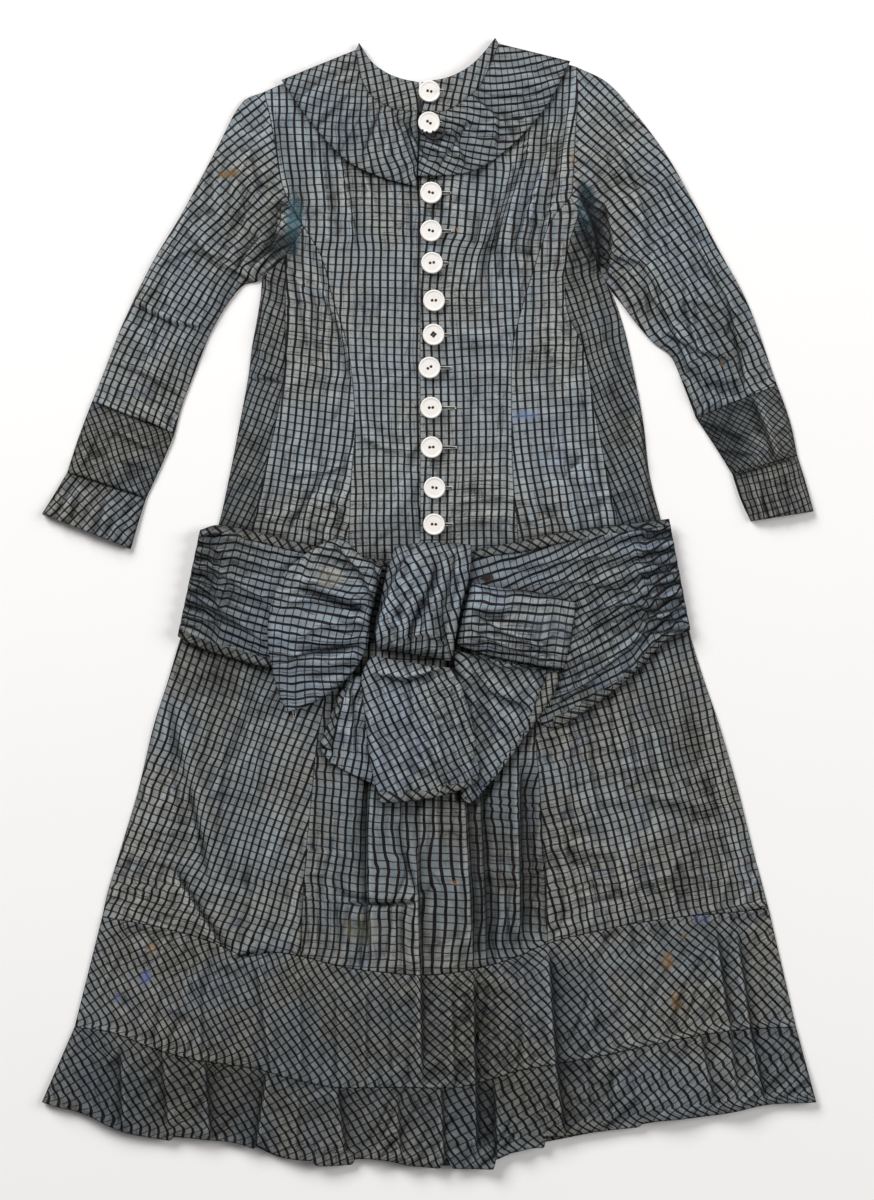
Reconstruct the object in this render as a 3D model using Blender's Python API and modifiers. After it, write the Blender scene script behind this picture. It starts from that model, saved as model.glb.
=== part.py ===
# A child's cotton dress of about 1880, laid flat: fitted bodice with twelve buttons, round gathered
# collar, sash with a bow, pleated skirt, bias band and hem ruffle.
# Tables are in millimetres on the table top: x to the right, y towards the neck, z up from the table.

import bpy
import bmesh
import numpy as np
from types import SimpleNamespace

MM = 0.001

# Cloth and layers
WALL = 1.2  # the cloth's wall
GAP = 0.3  # air between pieces at a seam and between layers
SEAM_INSET = 0.2  # what each panel gives up at a seam
EDGE_PUFF = 3.4  # how far the upper layer rises above the lower one
EDGE_ROLL = 16.0  # how far in from a folded edge it takes to rise
LAP_LIFT = WALL + 2 * GAP  # the buttonhole side over the button side
LAP_FLAT, LAP_END = 20.0, 40.0  # x where the lap starts and ends going down
HIDDEN_COLLAR_LIFT = WALL + GAP  # the body over the collar on the hidden side
BINDING_WIDTH = 7.0  # bias binding round the sash and its tails
NEAR = 5.0  # how far round a point an upper piece looks for what lies below

# Buttons
BUTTON_ACROSS = 17.3
BUTTON_THICK = 3.0
BUTTON_RIM = 2.2
BUTTON_DISH = 0.9
BUTTON_SIDES = 12


def table(columns, *rows):
    """One record with a list for each named column."""
    names = columns.split()
    return SimpleNamespace(**{name: [row[i] for row in rows] for i, name in enumerate(names)})


# The left side of the bodice above the bust: armhole seam and neck seam, from the shoulder down
YOKE_LEFT = table(
    "arm_x arm_y neck_x neck_y band_x band_y collar_x collar_y",
    (-132, 409, -59, 442, -56, 448, -118, 418),
    (-126, 383, -53, 416, -46, 433, -95, 384),
    (-122, 360, -42, 402, -34, 424, -67, 354),
    (-118, 336, -26, 394, -22, 419, -39, 340),
    (-110, 317, -8, 390, -8, 416, -10, 332),
)
YOKE_RIGHT = table(
    "arm_x arm_y neck_x neck_y band_x band_y collar_x collar_y",
    (118, 429, 56, 447, 53, 452, 113, 433),
    (119, 403, 42, 415, 42, 438, 95, 398),
    (117, 375, 30, 403, 31, 428, 66, 365),
    (116, 354, 14, 393, 15, 420, 33, 344),
    (115, 338, -6, 390, -6, 416, -9, 340),
)

# The hidden side's neckline, lower than the one that shows, from shoulder to shoulder
HIDDEN_NECK = table(
    "neck_x neck_y band_x band_y collar_x collar_y",
    (-59, 442, -56, 448, -117, 416),
    (-49, 405, -41, 420, -98, 378),
    (-30, 380, -22, 400, -62, 340),
    (-1, 370, -1, 392, -1, 322),
    (28, 381, 20, 402, 57, 344),
    (46, 408, 39, 423, 97, 392),
    (56, 447, 53, 452, 111, 432),
)

# Below the bust, a row at each height: side edge, side seam, shaped front seam and centre edge
BODICE_LEFT = table(
    "edge_x edge_y side_x side_y shaped_x shaped_y centre_x centre_y",
    (-132, 262, -115, 277, -100, 300, 7, 362),
    (-135, 244, -115, 256, -86, 276, 7, 330),
    (-138, 226, -115, 232, -77, 243, 7, 290),
    (-142, 204, -115, 204, -67, 212, 7, 242),
    (-145, 180, -116, 180, -62, 184, 7, 194),
    (-152, 142, -123, 142, -59, 142, 7, 142),
    (-160, 101, -132, 101, -62, 101, 7, 101),
    (-170, 58, -142, 58, -64, 56, 7, 56),
    (-188, 10, -152, 10, -66, 10, 7, 10),
)
BODICE_RIGHT = table(
    "edge_x edge_y side_x side_y shaped_x shaped_y centre_x centre_y",
    (139, 262, 121, 312, 113, 324, -7, 362),
    (148, 244, 113, 290, 97, 304, -7, 330),
    (155, 224, 109, 262, 84, 267, -7, 290),
    (160, 204, 111, 232, 74, 234, -7, 242),
    (165, 180, 124, 202, 67, 202, -7, 194),
    (172, 142, 132, 156, 66, 156, -7, 142),
    (177, 101, 142, 106, 67, 106, -7, 101),
    (188, 58, 153, 58, 71, 56, -7, 56),
    (202, 10, 164, 10, 74, 10, -7, 10),
)

# Sleeves below the armhole: outer edge and inner edge at each section down to the cuff seam
SLEEVE_LEFT = table(
    "out_x out_y in_x in_y",
    (-151, 399, -138, 257),
    (-171, 362, -149, 254),
    (-199, 310, -161, 240),
    (-223, 270, -175, 216),
    (-246, 222, -188, 184),
    (-260, 186, -198, 158),
    (-270, 161, -204, 135),
)
SLEEVE_RIGHT = table(
    "out_x out_y in_x in_y",
    (142, 417, 146, 250),
    (162, 396, 154, 240),
    (188, 362, 166, 224),
    (211, 322, 180, 208),
    (234, 279, 194, 197),
    (256, 238, 204, 174),
    (279, 174, 214, 148),
)
# Cuff from the sleeve's end to its frill, then the frill, which starts at the cuff's last row
CUFF_LEFT = table(
    "out_x out_y in_x in_y",
    (-270, 161, -204, 135),
    (-281, 132, -215, 109),
    (-290, 104, -227, 83),
    (-300, 87, -233, 64),
    (-310, 71, -239, 43),
)
CUFF_RIGHT = table(
    "out_x out_y in_x in_y",
    (279, 174, 214, 148),
    (289, 146, 230, 124),
    (295, 118, 243, 103),
    (302, 95, 250, 82),
    (308, 73, 258, 65),
)

# Skirt panels: side edges and the two long seams, from the waist seam down to the band
SKIRT = table(
    "edge_left_x edge_left_y left_x left_y right_x right_y edge_right_x edge_right_y",
    (-188, 9.5, -73, 9.5, 76, 9.5, 202, 9.5),
    (-200, -31, -78, -34, 80, -34, 209, -24),
    (-209, -62, -83, -74, 83, -74, 217, -52),
    (-221, -100, -90, -116, 86, -114, 233, -100),
    (-233, -150, -94, -156, 89, -156, 247, -148),
    (-246, -194, -98, -196, 91, -196, 258, -192),
    (-257, -230, -101, -240, 94, -236, 267, -226),
    (-262, -252, -103, -283, 95, -273, 272, -245),
)
# Stations across the bottom, left to right: band's top seam, band's lower seam and the hem
HEM = table(
    "top_x top_y low_x low_y hem_x hem_y",
    (-262, -252, -284, -340, -310, -400),
    (-231, -257, -254, -344, -274, -410),
    (-199, -264, -223, -356, -244, -423),
    (-171, -273, -191, -365, -211, -428),
    (-147, -283, -166, -369, -179, -430),
    (-126, -280, -137, -373, -147, -433),
    (-103, -283, -110, -381, -118, -445),
    (-67, -292, -75, -388, -83, -448),
    (-35, -296, -41, -388, -46, -446),
    (-6, -298, -7, -388, -9, -451),
    (21, -296, 21, -388, 21, -451),
    (45, -291, 47, -382, 50, -448),
    (69, -284, 73, -374, 79, -436),
    (95, -273, 103, -369, 111, -429),
    (129, -264, 137, -363, 147, -422),
    (164, -257, 173, -355, 185, -416),
    (207, -251, 217, -346, 231, -410),
    (245, -248, 258, -341, 270, -402),
    (272, -245, 294, -340, 310, -400),
)

# Sash halves from the side seam to under the knot: upper and lower edge, and how strongly gathered
SASH_LEFT = table(
    "top_x top_y low_x low_y gather",
    (-183, 58, -201, -27, 1.0),
    (-168, 62, -184, -36, 0.7),
    (-141, 57, -160, -44, 0.2),
    (-113, 50, -128, -52, 0),
    (-83, 43, -95, -52, 0),
    (-51, 36, -62, -38, 0),
    (-26, 32, -30, -24, 0),
)
SASH_RIGHT = table(
    "top_x top_y low_x low_y gather",
    (192, 67, 209, -22, 1.0),
    (170, 64, 188, -32, 1.0),
    (140, 60, 164, -57, 0.3),
    (107, 56, 134, -81, 0),
    (74, 49, 99, -100, 0),
    (52, 45, 73, -82, 0),
    (33, 40, 47, -56, 0),
    (22, 34, 26, -30, 0),
)

# Bow pieces: three points on each section, the lift off what lies below and the roundness on top
LOOP_LEFT = table(
    "one_x one_y mid_x mid_y two_x two_y lift thick",
    (-37, 29, -44, -1, -48, -30, 3, 7),
    (-54, 37, -58, -3, -58, -52, 3, 9),
    (-70, 51, -74, -3, -78, -72, 3, 10),
    (-91, 44, -97, -8, -98, -83, 3, 8),
    (-112, 28, -129, -22, -114, -88, 3, 3),
)
LOOP_RIGHT = table(
    "one_x one_y mid_x mid_y two_x two_y lift thick",
    (34, 16, 28, -6, 22, -34, 1.7, 6),
    (57, 12, 50, -14, 46, -42, 1.7, 7),
    (82, 9, 78, -19, 73, -48, 1.7, 7),
    (102, 4, 98, -22, 93, -52, 1.7, 5),
    (117, 0, 114, -27, 107, -54, 1.7, 3),
)
KNOT = table(
    "one_x one_y mid_x mid_y two_x two_y lift thick",
    (-27, 45, 2, 48, 34, 46, 3.4, 3),
    (-34, 24, 0, 24, 33, 24, 3.4, 9),
    (-39, 0, -6, -1, 26, -3, 3.4, 13),
    (-44, -23, -11, -25, 22, -25, 3.4, 13),
    (-41, -37, -10, -42, 18, -47, 3.4, 8),
)
TAIL_CENTRE = table(
    "one_x one_y mid_x mid_y two_x two_y lift thick",
    (-46, -42, -14, -48, 19, -52, 4.4, 1.2),
    (-54, -60, -14, -65, 28, -70, 4.4, 1.2),
    (-51, -94, -9, -96, 35, -96, 4.2, 1.2),
    (-47, -128, -3, -129, 40, -128, 3.8, 1.2),
    (-39, -160, 1, -156, 39, -144, 3.4, 1.2),
)
TAIL_RIGHT = table(
    "one_x one_y mid_x mid_y two_x two_y lift thick",
    (20, -38, 63, -48, 106, -57, 2.4, 1.2),
    (21, -74, 57, -79, 97, -78, 2.4, 1.2),
    (23, -106, 52, -108, 79, -104, 1.6, 1.2),
    (25, -134, 42, -136, 59, -132, 0.8, 1.2),
    (26, -156, 29, -159, 34, -161, 0.5, 1.2),
)
TAIL_LEFT = table(
    "one_x one_y mid_x mid_y two_x two_y lift thick",
    (-63, -56, -55, -59, -47, -62, 0.5, 1.2),
    (-74, -78, -60, -80, -44, -81, 0.5, 1.2),
    (-82, -100, -63, -102, -42, -104, 0.5, 1.2),
    (-87, -115, -63, -120, -41, -124, 0.5, 1.2),
    (-79, -128, -62, -137, -41, -147, 0.5, 1.2),
)

# Main folds of the body and sleeves: soft ridges from one point to another
FOLDS = table(
    "from_x from_y to_x to_y width height",
    (-207, -74, -179, -206, 9, 2.6),
    (-179, -206, -158, -278, 8, 2.4),
    (-209, -208, -161, -278, 8, 1.6),
    (-134, -78, -134, -254, 14, 1.4),
    (-103, 82, -110, 150, 9, 1.2),
    (102, 78, 105, 138, 8, 1.4),
    (60, 362, 69, 242, 8, 1.8),
    (74, 346, 57, 274, 8, 1.2),
    (9, 182, 73, 184, 8, 0.9),
    (9, 96, 66, 101, 8, 0.9),
    (-67, 96, -103, 106, 7, 0.9),
    (127, 242, 140, 162, 9, 1.6),
    (215, -70, 253, -222, 9, 2.4),
    (191, -62, 221, -222, 10, 1.8),
    (137, -110, 162, -238, 14, 1.2),
    (-143, 362, -191, 274, 10, 2.0),
    (-154, 310, -215, 218, 10, 1.8),
    (-195, 226, -239, 162, 9, 1.6),
    (146, 378, 201, 298, 10, 2.0),
    (151, 310, 217, 226, 9, 2.4),
    (209, 266, 253, 194, 9, 2.0),
    (188, 218, 230, 170, 8, 1.6),
)
# Knife pleats down the skirt's centre: the fold's place under the bow and at the band
PLEATS = table(
    "from_x from_y to_x to_y width height",
    (-46, -78, -50, -282, 14, 2.2),
    (-4, -78, -7, -282, 14, 2.6),
    (33, -78, 36, -282, 12, 2.4),
    (50, -78, 55, -282, 9, 2.0),
    (66, -78, 74, -282, 9, 1.8),
)
# Folds of the sash, drawn from its gathered ends towards the bow
SASH_FOLDS = table(
    "from_x from_y to_x to_y width height",
    (185, 46, 105, 37, 7, 2.4),
    (181, 29, 129, 18, 7, 2.6),
    (181, 10, 134, -18, 8, 2.8),
    (182, -8, 137, -56, 8, 3.0),
    (169, -30, 138, -70, 7, 2.2),
    (-172, 44, -134, 34, 8, 2.0),
    (-174, 22, -138, 8, 7, 2.6),
    (-177, 8, -138, -12, 7, 2.6),
    (-183, -3, -140, -25, 7, 2.4),
    (-190, -16, -143, -36, 7, 2.0),
)

BUTTONS = table(
    "x y under",
    (0.4, 408.4, "neckband"),
    (0, 382.8, "collar"),
    (1.6, 327.2, "front"),
    (1.6, 296.8, "front"),
    (2.4, 271.2, "front"),
    (4, 241.2, "front"),
    (3.6, 214, "front"),
    (0.4, 187.6, "front"),
    (1.6, 155.6, "front"),
    (2, 124, "front"),
    (4.4, 91.6, "front"),
    (4, 62.4, "front"),
)

# How finely each piece is made, and its gathers
ROW_STEPS = 2  # rows between two sections
COLLAR_STEPS = 5
COLLAR_PLEAT = 1.6
BAND_GATHER = 1.3
RUFFLE_WAVE = 5.0
RUFFLE_PERIOD = 3.5  # columns to a wave
FRILL_WAVES = 7
FRILL_WAVE = 3.0
SASH_COLUMNS = 14
SASH_GATHER = 1.6
BOW_CREASE = 1.5
EDGE_THICK = 2.4  # two walls of the bow's cloth at a folded edge
PLEAT_DROP = 3.0
LAP_EDGE = -8.0
HEM_SPLITS = ((0, 6, 2), (6, 13, 3), (13, 18, 2))  # stations of each skirt panel, and its columns
HIDDEN_COLLAR = SimpleNamespace(x=-2, y=440, wide=118, long=122, flat=1.1, end=1.75)
SEAT_LIFTS = {  # what a button's seat adds to the clearance over the front
    "neckband": -LAP_LIFT,
    "collar": WALL + GAP + COLLAR_PLEAT,
    "front": 0.0,
}
COTTON = SimpleNamespace(color=(0.14, 0.19, 0.21), roughness=0.85)
RIBBON = SimpleNamespace(color=(0.15, 0.2, 0.24), roughness=0.8)
SHELL = SimpleNamespace(color=(0.85, 0.82, 0.78), roughness=0.35)


def points(rows, name):
    """A named pair of columns as points."""
    return np.array([getattr(rows, name + "_x"), getattr(rows, name + "_y")], float).T


def smooth(line, steps):
    """A smooth curve through the points, with this many steps between each two."""
    line = np.asarray(line, float)
    padded = np.vstack([2 * line[0] - line[1], line, 2 * line[-1] - line[-2]])
    found = []
    for before, start, end, after in zip(padded, padded[1:], padded[2:], padded[3:]):
        for t in np.arange(steps) / steps:
            turn = 2 * start + (end - before) * t
            turn = turn + (2 * before - 5 * start + 4 * end - after) * t**2
            found.append((turn + (3 * start - before - 3 * end + after) * t**3) / 2)
    return np.array(found + [line[-1]])


def smoothstep(low, high, value):
    t = np.clip((value - low) / (high - low), 0, 1)
    return t * t * (3 - 2 * t)


def evenly(count):
    return np.linspace(0, 1, count + 1)


def ruled(left, right, fractions):
    """A grid of points between two edges: a row for each pair of their points."""
    across = np.asarray(fractions)[None, :, None]
    return left[:, None] * (1 - across) + right[:, None] * across


def bend(grid, edge, row, reach):
    """Gives one end row its own curve, which straightens over the next rows."""
    rows = np.arange(len(grid))
    away = np.abs(rows - (row % len(grid)))
    share = np.clip(1 - away / reach, 0, 1) ** 1.3
    return grid + share[:, None, None] * (edge - grid[row])[None]


def through(rows, steps, across):
    """A grid through sections that have three named points each."""
    u = evenly(across)[None, :, None]
    one, mid, two = (smooth(points(rows, name), steps)[:, None] for name in ("one", "mid", "two"))
    return one * (1 - u) * (1 - 2 * u) + mid * 4 * u * (1 - u) + two * u * (2 * u - 1)


def along(values, steps):
    """A column of single values, spread over a grid's rows."""
    return smooth(np.array(values, float)[:, None].repeat(2, 1), steps)[:, :1]


def inset(grid, amount=SEAM_INSET):
    """Draws each border of the grid inwards, which leaves the gap at a seam."""
    grid = grid.copy()
    for view in (grid, grid.transpose(1, 0, 2)):
        for edge, inner in ((0, 1), (-1, -2)):
            step = view[inner] - view[edge]
            length = np.linalg.norm(step, axis=-1, keepdims=True)
            view[edge] += step / np.maximum(length, 1e-6) * amount
    return grid


# The edges where the cloth folds round to the hidden side
def side_edges(yoke, sleeve, cuff, bodice, skirt_edge, hem_side):
    outer = [points(yoke, "neck")[:1], points(yoke, "arm")[:1], points(sleeve, "out")]
    inner = [points(cuff, "in")[::-1], points(sleeve, "in")[::-1], points(bodice, "edge")]
    low = [points(HEM, name)[[hem_side]] for name in ("low", "hem")]
    return [
        np.vstack(outer + [points(cuff, "out")[1:]]),
        np.vstack(inner + [points(SKIRT, skirt_edge)[1:]] + low),
    ]


EDGES = side_edges(YOKE_LEFT, SLEEVE_LEFT, CUFF_LEFT, BODICE_LEFT, "edge_left", 0)
EDGES += side_edges(YOKE_RIGHT, SLEEVE_RIGHT, CUFF_RIGHT, BODICE_RIGHT, "edge_right", -1)


def distance(x, y, start, end):
    """How far each point lies from a straight stretch, and where along it."""
    run = end - start
    t = ((x - start[0]) * run[0] + (y - start[1]) * run[1]) / max(run @ run, 1e-9)
    t = np.clip(t, 0, 1)
    return np.hypot(x - start[0] - t * run[0], y - start[1] - t * run[1]), t


def puff(x, y):
    """The upper layer's rise above the lower one, nothing at a folded edge."""
    nearest = np.full(np.shape(x), 1e9)
    for line in EDGES:
        for start, end in zip(line, line[1:]):
            nearest = np.minimum(nearest, distance(x, y, start, end)[0])
    return EDGE_PUFF * (1 - np.exp(-nearest / EDGE_ROLL))


def hidden_lift(x, y):
    """The body lies over the collar of the hidden side, and comes down to the table round it."""
    away = np.hypot((x - HIDDEN_COLLAR.x) / HIDDEN_COLLAR.wide, (y - HIDDEN_COLLAR.y) / HIDDEN_COLLAR.long)
    return HIDDEN_COLLAR_LIFT * (1 - smoothstep(HIDDEN_COLLAR.flat, HIDDEN_COLLAR.end, away))


def ridges(folds, x, y):
    """Soft ridges that rise and die out along their length."""
    total = np.zeros(np.shape(x))
    lines = zip(points(folds, "from"), points(folds, "to"), folds.width, folds.height)
    for start, end, width, height in lines:
        away, t = distance(x, y, start, end)
        taper = smoothstep(0, 0.25, t) * smoothstep(1, 0.75, t)
        total += height * taper * np.exp(-((away / width) ** 2))
    return total


def pleats(x, y):
    """Knife pleats: the cloth rises towards the fold from the right and drops at it."""
    total = np.zeros(np.shape(x))
    lines = zip(points(PLEATS, "from"), points(PLEATS, "to"), PLEATS.width, PLEATS.height)
    for start, end, width, height in lines:
        t = (y - start[1]) / (end[1] - start[1])
        side = x - start[0] - t * (end[0] - start[0])
        rise = np.where(side > 0, np.exp(-np.abs(side) / width), np.exp(-((side / PLEAT_DROP) ** 2)))
        total += height * smoothstep(0.2, 0.7, t) * rise
    return total


def front_bottom(x, y):
    """The underside of the upper layer, before the lap."""
    return hidden_lift(x, y) + WALL + GAP + puff(x, y) + ridges(FOLDS, x, y) + pleats(x, y)


def lap(x):
    """The buttonhole side's rise over the button side."""
    return LAP_LIFT * (1 - smoothstep(LAP_FLAT, LAP_END, x)) * (x > LAP_EDGE)


def over(x, y):
    """Just clear of the upper layer, also a little to each side."""
    found = [
        front_bottom(x + dx, y + dy) + lap(x + dx)
        for dx, dy in ((0, 0), (NEAR, 0), (-NEAR, 0), (0, NEAR), (0, -NEAR))
    ]
    return np.max(found, axis=0) + WALL + GAP


def zigzag(count, height):
    """Gathers: every other row or column stands up."""
    return height * (np.arange(count) % 2)


# Making the solids
def clear_scene():
    for thing in list(bpy.data.objects):
        bpy.data.objects.remove(thing, do_unlink=True)


def material(name, finish):
    made = bpy.data.materials.new(name)
    made.use_nodes = True
    shader = made.node_tree.nodes["Principled BSDF"]
    shader.inputs["Base Color"].default_value = (*finish.color, 1)
    shader.inputs["Roughness"].default_value = finish.roughness
    shader.inputs["Metallic"].default_value = 0
    return made


def add(name, mesh, finish):
    made = bpy.data.objects.new(name, mesh)
    mesh.materials.append(material(name, finish))
    bpy.data.collections["Dress"].objects.link(made)
    return made


def slab(name, grid, bottom, thick=WALL, finish=None):
    """A sheet of cloth: a flat grid with a wall, moved to the points and heights given."""
    rows, columns = grid.shape[0] - 1, grid.shape[1] - 1
    bottom = np.broadcast_to(bottom, grid.shape[:2])
    thick = np.broadcast_to(thick, grid.shape[:2])
    bm = bmesh.new()
    bmesh.ops.create_grid(bm, x_segments=columns, y_segments=rows, size=0.5)
    made = bmesh.ops.extrude_face_region(bm, geom=bm.faces[:])
    low = [v for v in made["geom"] if isinstance(v, bmesh.types.BMVert)]
    bmesh.ops.translate(bm, verts=low, vec=(0, 0, -1))
    bmesh.ops.recalc_face_normals(bm, faces=bm.faces[:])
    for vert in bm.verts:
        i = round((vert.co.y + 0.5) * rows)
        j = round((vert.co.x + 0.5) * columns)
        height = bottom[i, j] + (thick[i, j] if vert.co.z > -0.5 else 0)
        vert.co = (grid[i, j, 0] * MM, grid[i, j, 1] * MM, height * MM)
    if bm.calc_volume(signed=True) < 0:
        bmesh.ops.reverse_faces(bm, faces=bm.faces[:])
    mesh = bpy.data.meshes.new(name)
    bm.to_mesh(mesh)
    bm.free()
    return add(name, mesh, finish or COTTON)


def button(name, x, y, seat):
    """A turned button: a raised rim round a shallow dish."""
    radius = BUTTON_ACROSS / 2
    profile = [
        (0, BUTTON_THICK - BUTTON_DISH),
        (radius - BUTTON_RIM - 1, BUTTON_THICK - BUTTON_DISH),
        (radius - BUTTON_RIM, BUTTON_THICK),
        (radius, BUTTON_THICK - 0.8),
        (radius - 1, 0),
        (0, 0),
    ]
    mesh = bpy.data.meshes.new(name)
    steps = [(i, i + 1) for i in range(len(profile) - 1)]
    mesh.from_pydata([(r * MM, 0, z * MM) for r, z in profile], steps, [])
    made = add(name, mesh, SHELL)
    made.location = (x * MM, y * MM, seat * MM)
    turn = made.modifiers.new("Turn", "SCREW")
    turn.steps = turn.render_steps = BUTTON_SIDES
    turn.use_merge_vertices = True
    turn.merge_threshold = 0.00002
    return made


# Bodice
def armhole(yoke, bodice, steps):
    """The armhole seam, and the front panel's outer edge that carries it on down."""
    outer = smooth(np.vstack([points(yoke, "arm"), points(bodice, "shaped")]), steps)
    split = steps * len(yoke.arm_x)
    low = np.array([points(bodice, "side")[0], points(bodice, "edge")[0]])
    return outer, split, np.vstack([outer[: split + 1], low])


def neck_seam(yoke, bodice, steps):
    inner = smooth(np.vstack([points(yoke, "neck"), points(bodice, "centre")]), steps)
    return inner, inner[: steps * (len(yoke.neck_x) - 1) + 1]


def build_bodice_side(side, yoke, bodice, lapped):
    outer, split, _ = armhole(yoke, bodice, ROW_STEPS)
    inner, _ = neck_seam(yoke, bodice, ROW_STEPS)
    side_seam = smooth(points(bodice, "side"), ROW_STEPS)
    edge = smooth(points(bodice, "edge"), ROW_STEPS)
    panels = (
        ("bodice_front_", outer, inner, 5),
        ("bodice_side_front_", side_seam, outer[split:], 3),
        ("bodice_side_", edge, side_seam, 2),
    )
    for name, left, right, across in panels:
        grid = inset(ruled(left, right, evenly(across)))
        x, y = grid[..., 0], grid[..., 1]
        slab(name + side, grid, front_bottom(x, y) + (lap(x) if lapped else 0))


def hidden_armhole(yoke, bodice):
    low = np.array([points(bodice, name)[0] for name in ("shaped", "side", "edge")])
    return np.vstack([points(yoke, "arm"), low])


def build_bodice_back():
    neck = points(HIDDEN_NECK, "neck")
    left, right = (
        np.vstack([hidden_armhole(yoke, bodice), points(bodice, "edge")[1:]])
        for yoke, bodice in ((YOKE_LEFT, BODICE_LEFT), (YOKE_RIGHT, BODICE_RIGHT))
    )
    third = evenly(3)[:, None]
    left_shoulder = left[0] + (neck[0] - left[0]) * third[:-1]
    right_shoulder = neck[-1] + (right[0] - neck[-1]) * third[1:]
    top = np.vstack([left_shoulder, neck, right_shoulder])
    fractions = (top[:, 0] - left[0, 0]) / (right[0, 0] - left[0, 0])
    grid = inset(bend(ruled(left, right, fractions), top, 0, 7))
    slab("bodice_back", grid, hidden_lift(grid[..., 0], grid[..., 1]))


# Sleeves, cuffs and frills
def build_sleeve(side, yoke, bodice, sleeve, cuff):
    upper = armhole(yoke, bodice, ROW_STEPS)[2]
    under = hidden_armhole(yoke, bodice)
    for name, seam, steps in (("sleeve_upper_", upper, 2), ("sleeve_under_", under, 1)):
        out = smooth(np.vstack([seam[:1], points(sleeve, "out")]), steps)
        inner = smooth(np.vstack([seam[-1:], points(sleeve, "in")]), steps)
        lengths = np.linalg.norm(np.diff(seam, axis=0), axis=1)
        fractions = np.append(0, lengths.cumsum() / lengths.sum())
        grid = inset(bend(ruled(out, inner, fractions), seam, 0, 3 * steps))
        x, y = grid[..., 0], grid[..., 1]
        slab(name + side, grid, front_bottom(x, y) if steps == 2 else hidden_lift(x, y))
    out, inner = (smooth(points(cuff, name), 2) for name in ("out", "in"))
    for name, rows, across, height in (
        ("cuff_", slice(0, 5), 8, 0),
        ("cuff_frill_", slice(4, 9), 2 * FRILL_WAVES, FRILL_WAVE),
    ):
        grid = inset(ruled(out[rows], inner[rows], evenly(across)))
        x, y = grid[..., 0], grid[..., 1]
        growth = evenly(len(grid) - 1)[:, None]
        wave = zigzag(across + 1, height)[None] * (0.3 + 0.7 * growth)
        slab(name + side, grid, front_bottom(x, y) + wave + growth * height / 2)
        plain = inset(ruled(out[rows][::2], inner[rows][::2], evenly(4)))
        slab(name + "under_" + side, plain, 0)


# Neckband and collar
def build_neck(side, yoke, bodice):
    neck = neck_seam(yoke, bodice, 2)[1]
    band = smooth(points(yoke, "band"), 2)
    grid = inset(ruled(band, neck, evenly(2)))
    slab("neckband_" + side, grid, front_bottom(grid[..., 0], grid[..., 1]))
    neck = neck_seam(yoke, bodice, COLLAR_STEPS)[1]
    outer = smooth(points(yoke, "collar"), COLLAR_STEPS)
    grid = inset(ruled(neck, outer, evenly(4)))
    swell = np.sin(np.pi * (0.1 + 0.8 * evenly(4)))[None]
    pleat = zigzag(len(grid), COLLAR_PLEAT)[:, None] * swell
    slab("collar_" + side, grid, over(grid[..., 0], grid[..., 1]) + pleat)


def build_hidden_neck():
    neck, band, collar = (points(HIDDEN_NECK, name) for name in ("neck", "band", "collar"))
    grid = inset(ruled(band, neck, evenly(1)))
    slab("neckband_under", grid, hidden_lift(grid[..., 0], grid[..., 1]))
    slab("collar_under", inset(ruled(neck, collar, evenly(3))), 0)


# Skirt, band and ruffle
def stations(name):
    """The points across the bottom that the skirt panels, band and ruffle share."""
    line = points(HEM, name)
    found = [line[:1]]
    for first, last, steps in HEM_SPLITS:
        whole = smooth(line, steps)
        found.append(whole[first * steps + 1 : last * steps + 1])
    return np.vstack(found)


def panel_columns(first, last):
    """Where a skirt panel's columns start and end among the shared points."""
    counts = [0]
    for start, end, steps in HEM_SPLITS:
        counts.append(counts[-1] + (end - start) * steps)
    return counts[first], counts[last]


def build_skirt():
    top = stations("top")
    for name, left, right, part in (
        ("skirt_left", "edge_left", "left", 0),
        ("skirt_centre", "left", "right", 1),
        ("skirt_right", "right", "edge_right", 2),
    ):
        first, last = panel_columns(part, part + 1)
        low = top[first : last + 1]
        sides = [points(SKIRT, key) for key in (left, right)]
        fractions = (low[:, 0] - low[0, 0]) / (low[-1, 0] - low[0, 0])
        grid = inset(bend(ruled(*sides, fractions), low, -1, 3))
        slab(name, grid, front_bottom(grid[..., 0], grid[..., 1]))
    sides = [points(SKIRT, key) for key in ("edge_left", "edge_right")]
    low = points(HEM, "top")
    fractions = (low[:, 0] - low[0, 0]) / (low[-1, 0] - low[0, 0])
    slab("skirt_back", inset(bend(ruled(*sides, fractions), low, -1, 3)), 0)


def with_middles(line):
    """The points with one more halfway between each two."""
    doubled = np.repeat(line, 2, axis=0)[:-1]
    doubled[1::2] = (line[1:] + line[:-1]) / 2
    return doubled


def build_band_and_ruffle():
    top, low, hem = (with_middles(stations(name)) for name in ("top", "low", "hem"))
    grid = inset(ruled(top, low, evenly(2))).transpose(1, 0, 2)
    x, y = grid[..., 0], grid[..., 1]
    gather = zigzag(len(top), BAND_GATHER)[None] * (1 - 0.4 * np.sin(np.pi * evenly(2)))[:, None]
    slab("band_front", grid, front_bottom(x, y) + gather)
    grid = inset(ruled(low, hem, evenly(3))).transpose(1, 0, 2)
    x, y = grid[..., 0], grid[..., 1]
    count = np.arange(len(low))
    turn = 2 * np.pi * count / RUFFLE_PERIOD + np.sin(count / 5)
    wave = RUFFLE_WAVE * (0.5 + 0.5 * np.sin(turn))[None] * (0.12 + 0.88 * evenly(3) ** 1.2)[:, None]
    slab("ruffle_front", grid, front_bottom(x, y) + wave)
    top, low, hem = (points(HEM, name) for name in ("top", "low", "hem"))
    slab("band_back", inset(ruled(top, low, evenly(1))).transpose(1, 0, 2), 0)
    slab("ruffle_back", inset(ruled(low, hem, evenly(1))).transpose(1, 0, 2), 0)


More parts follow.
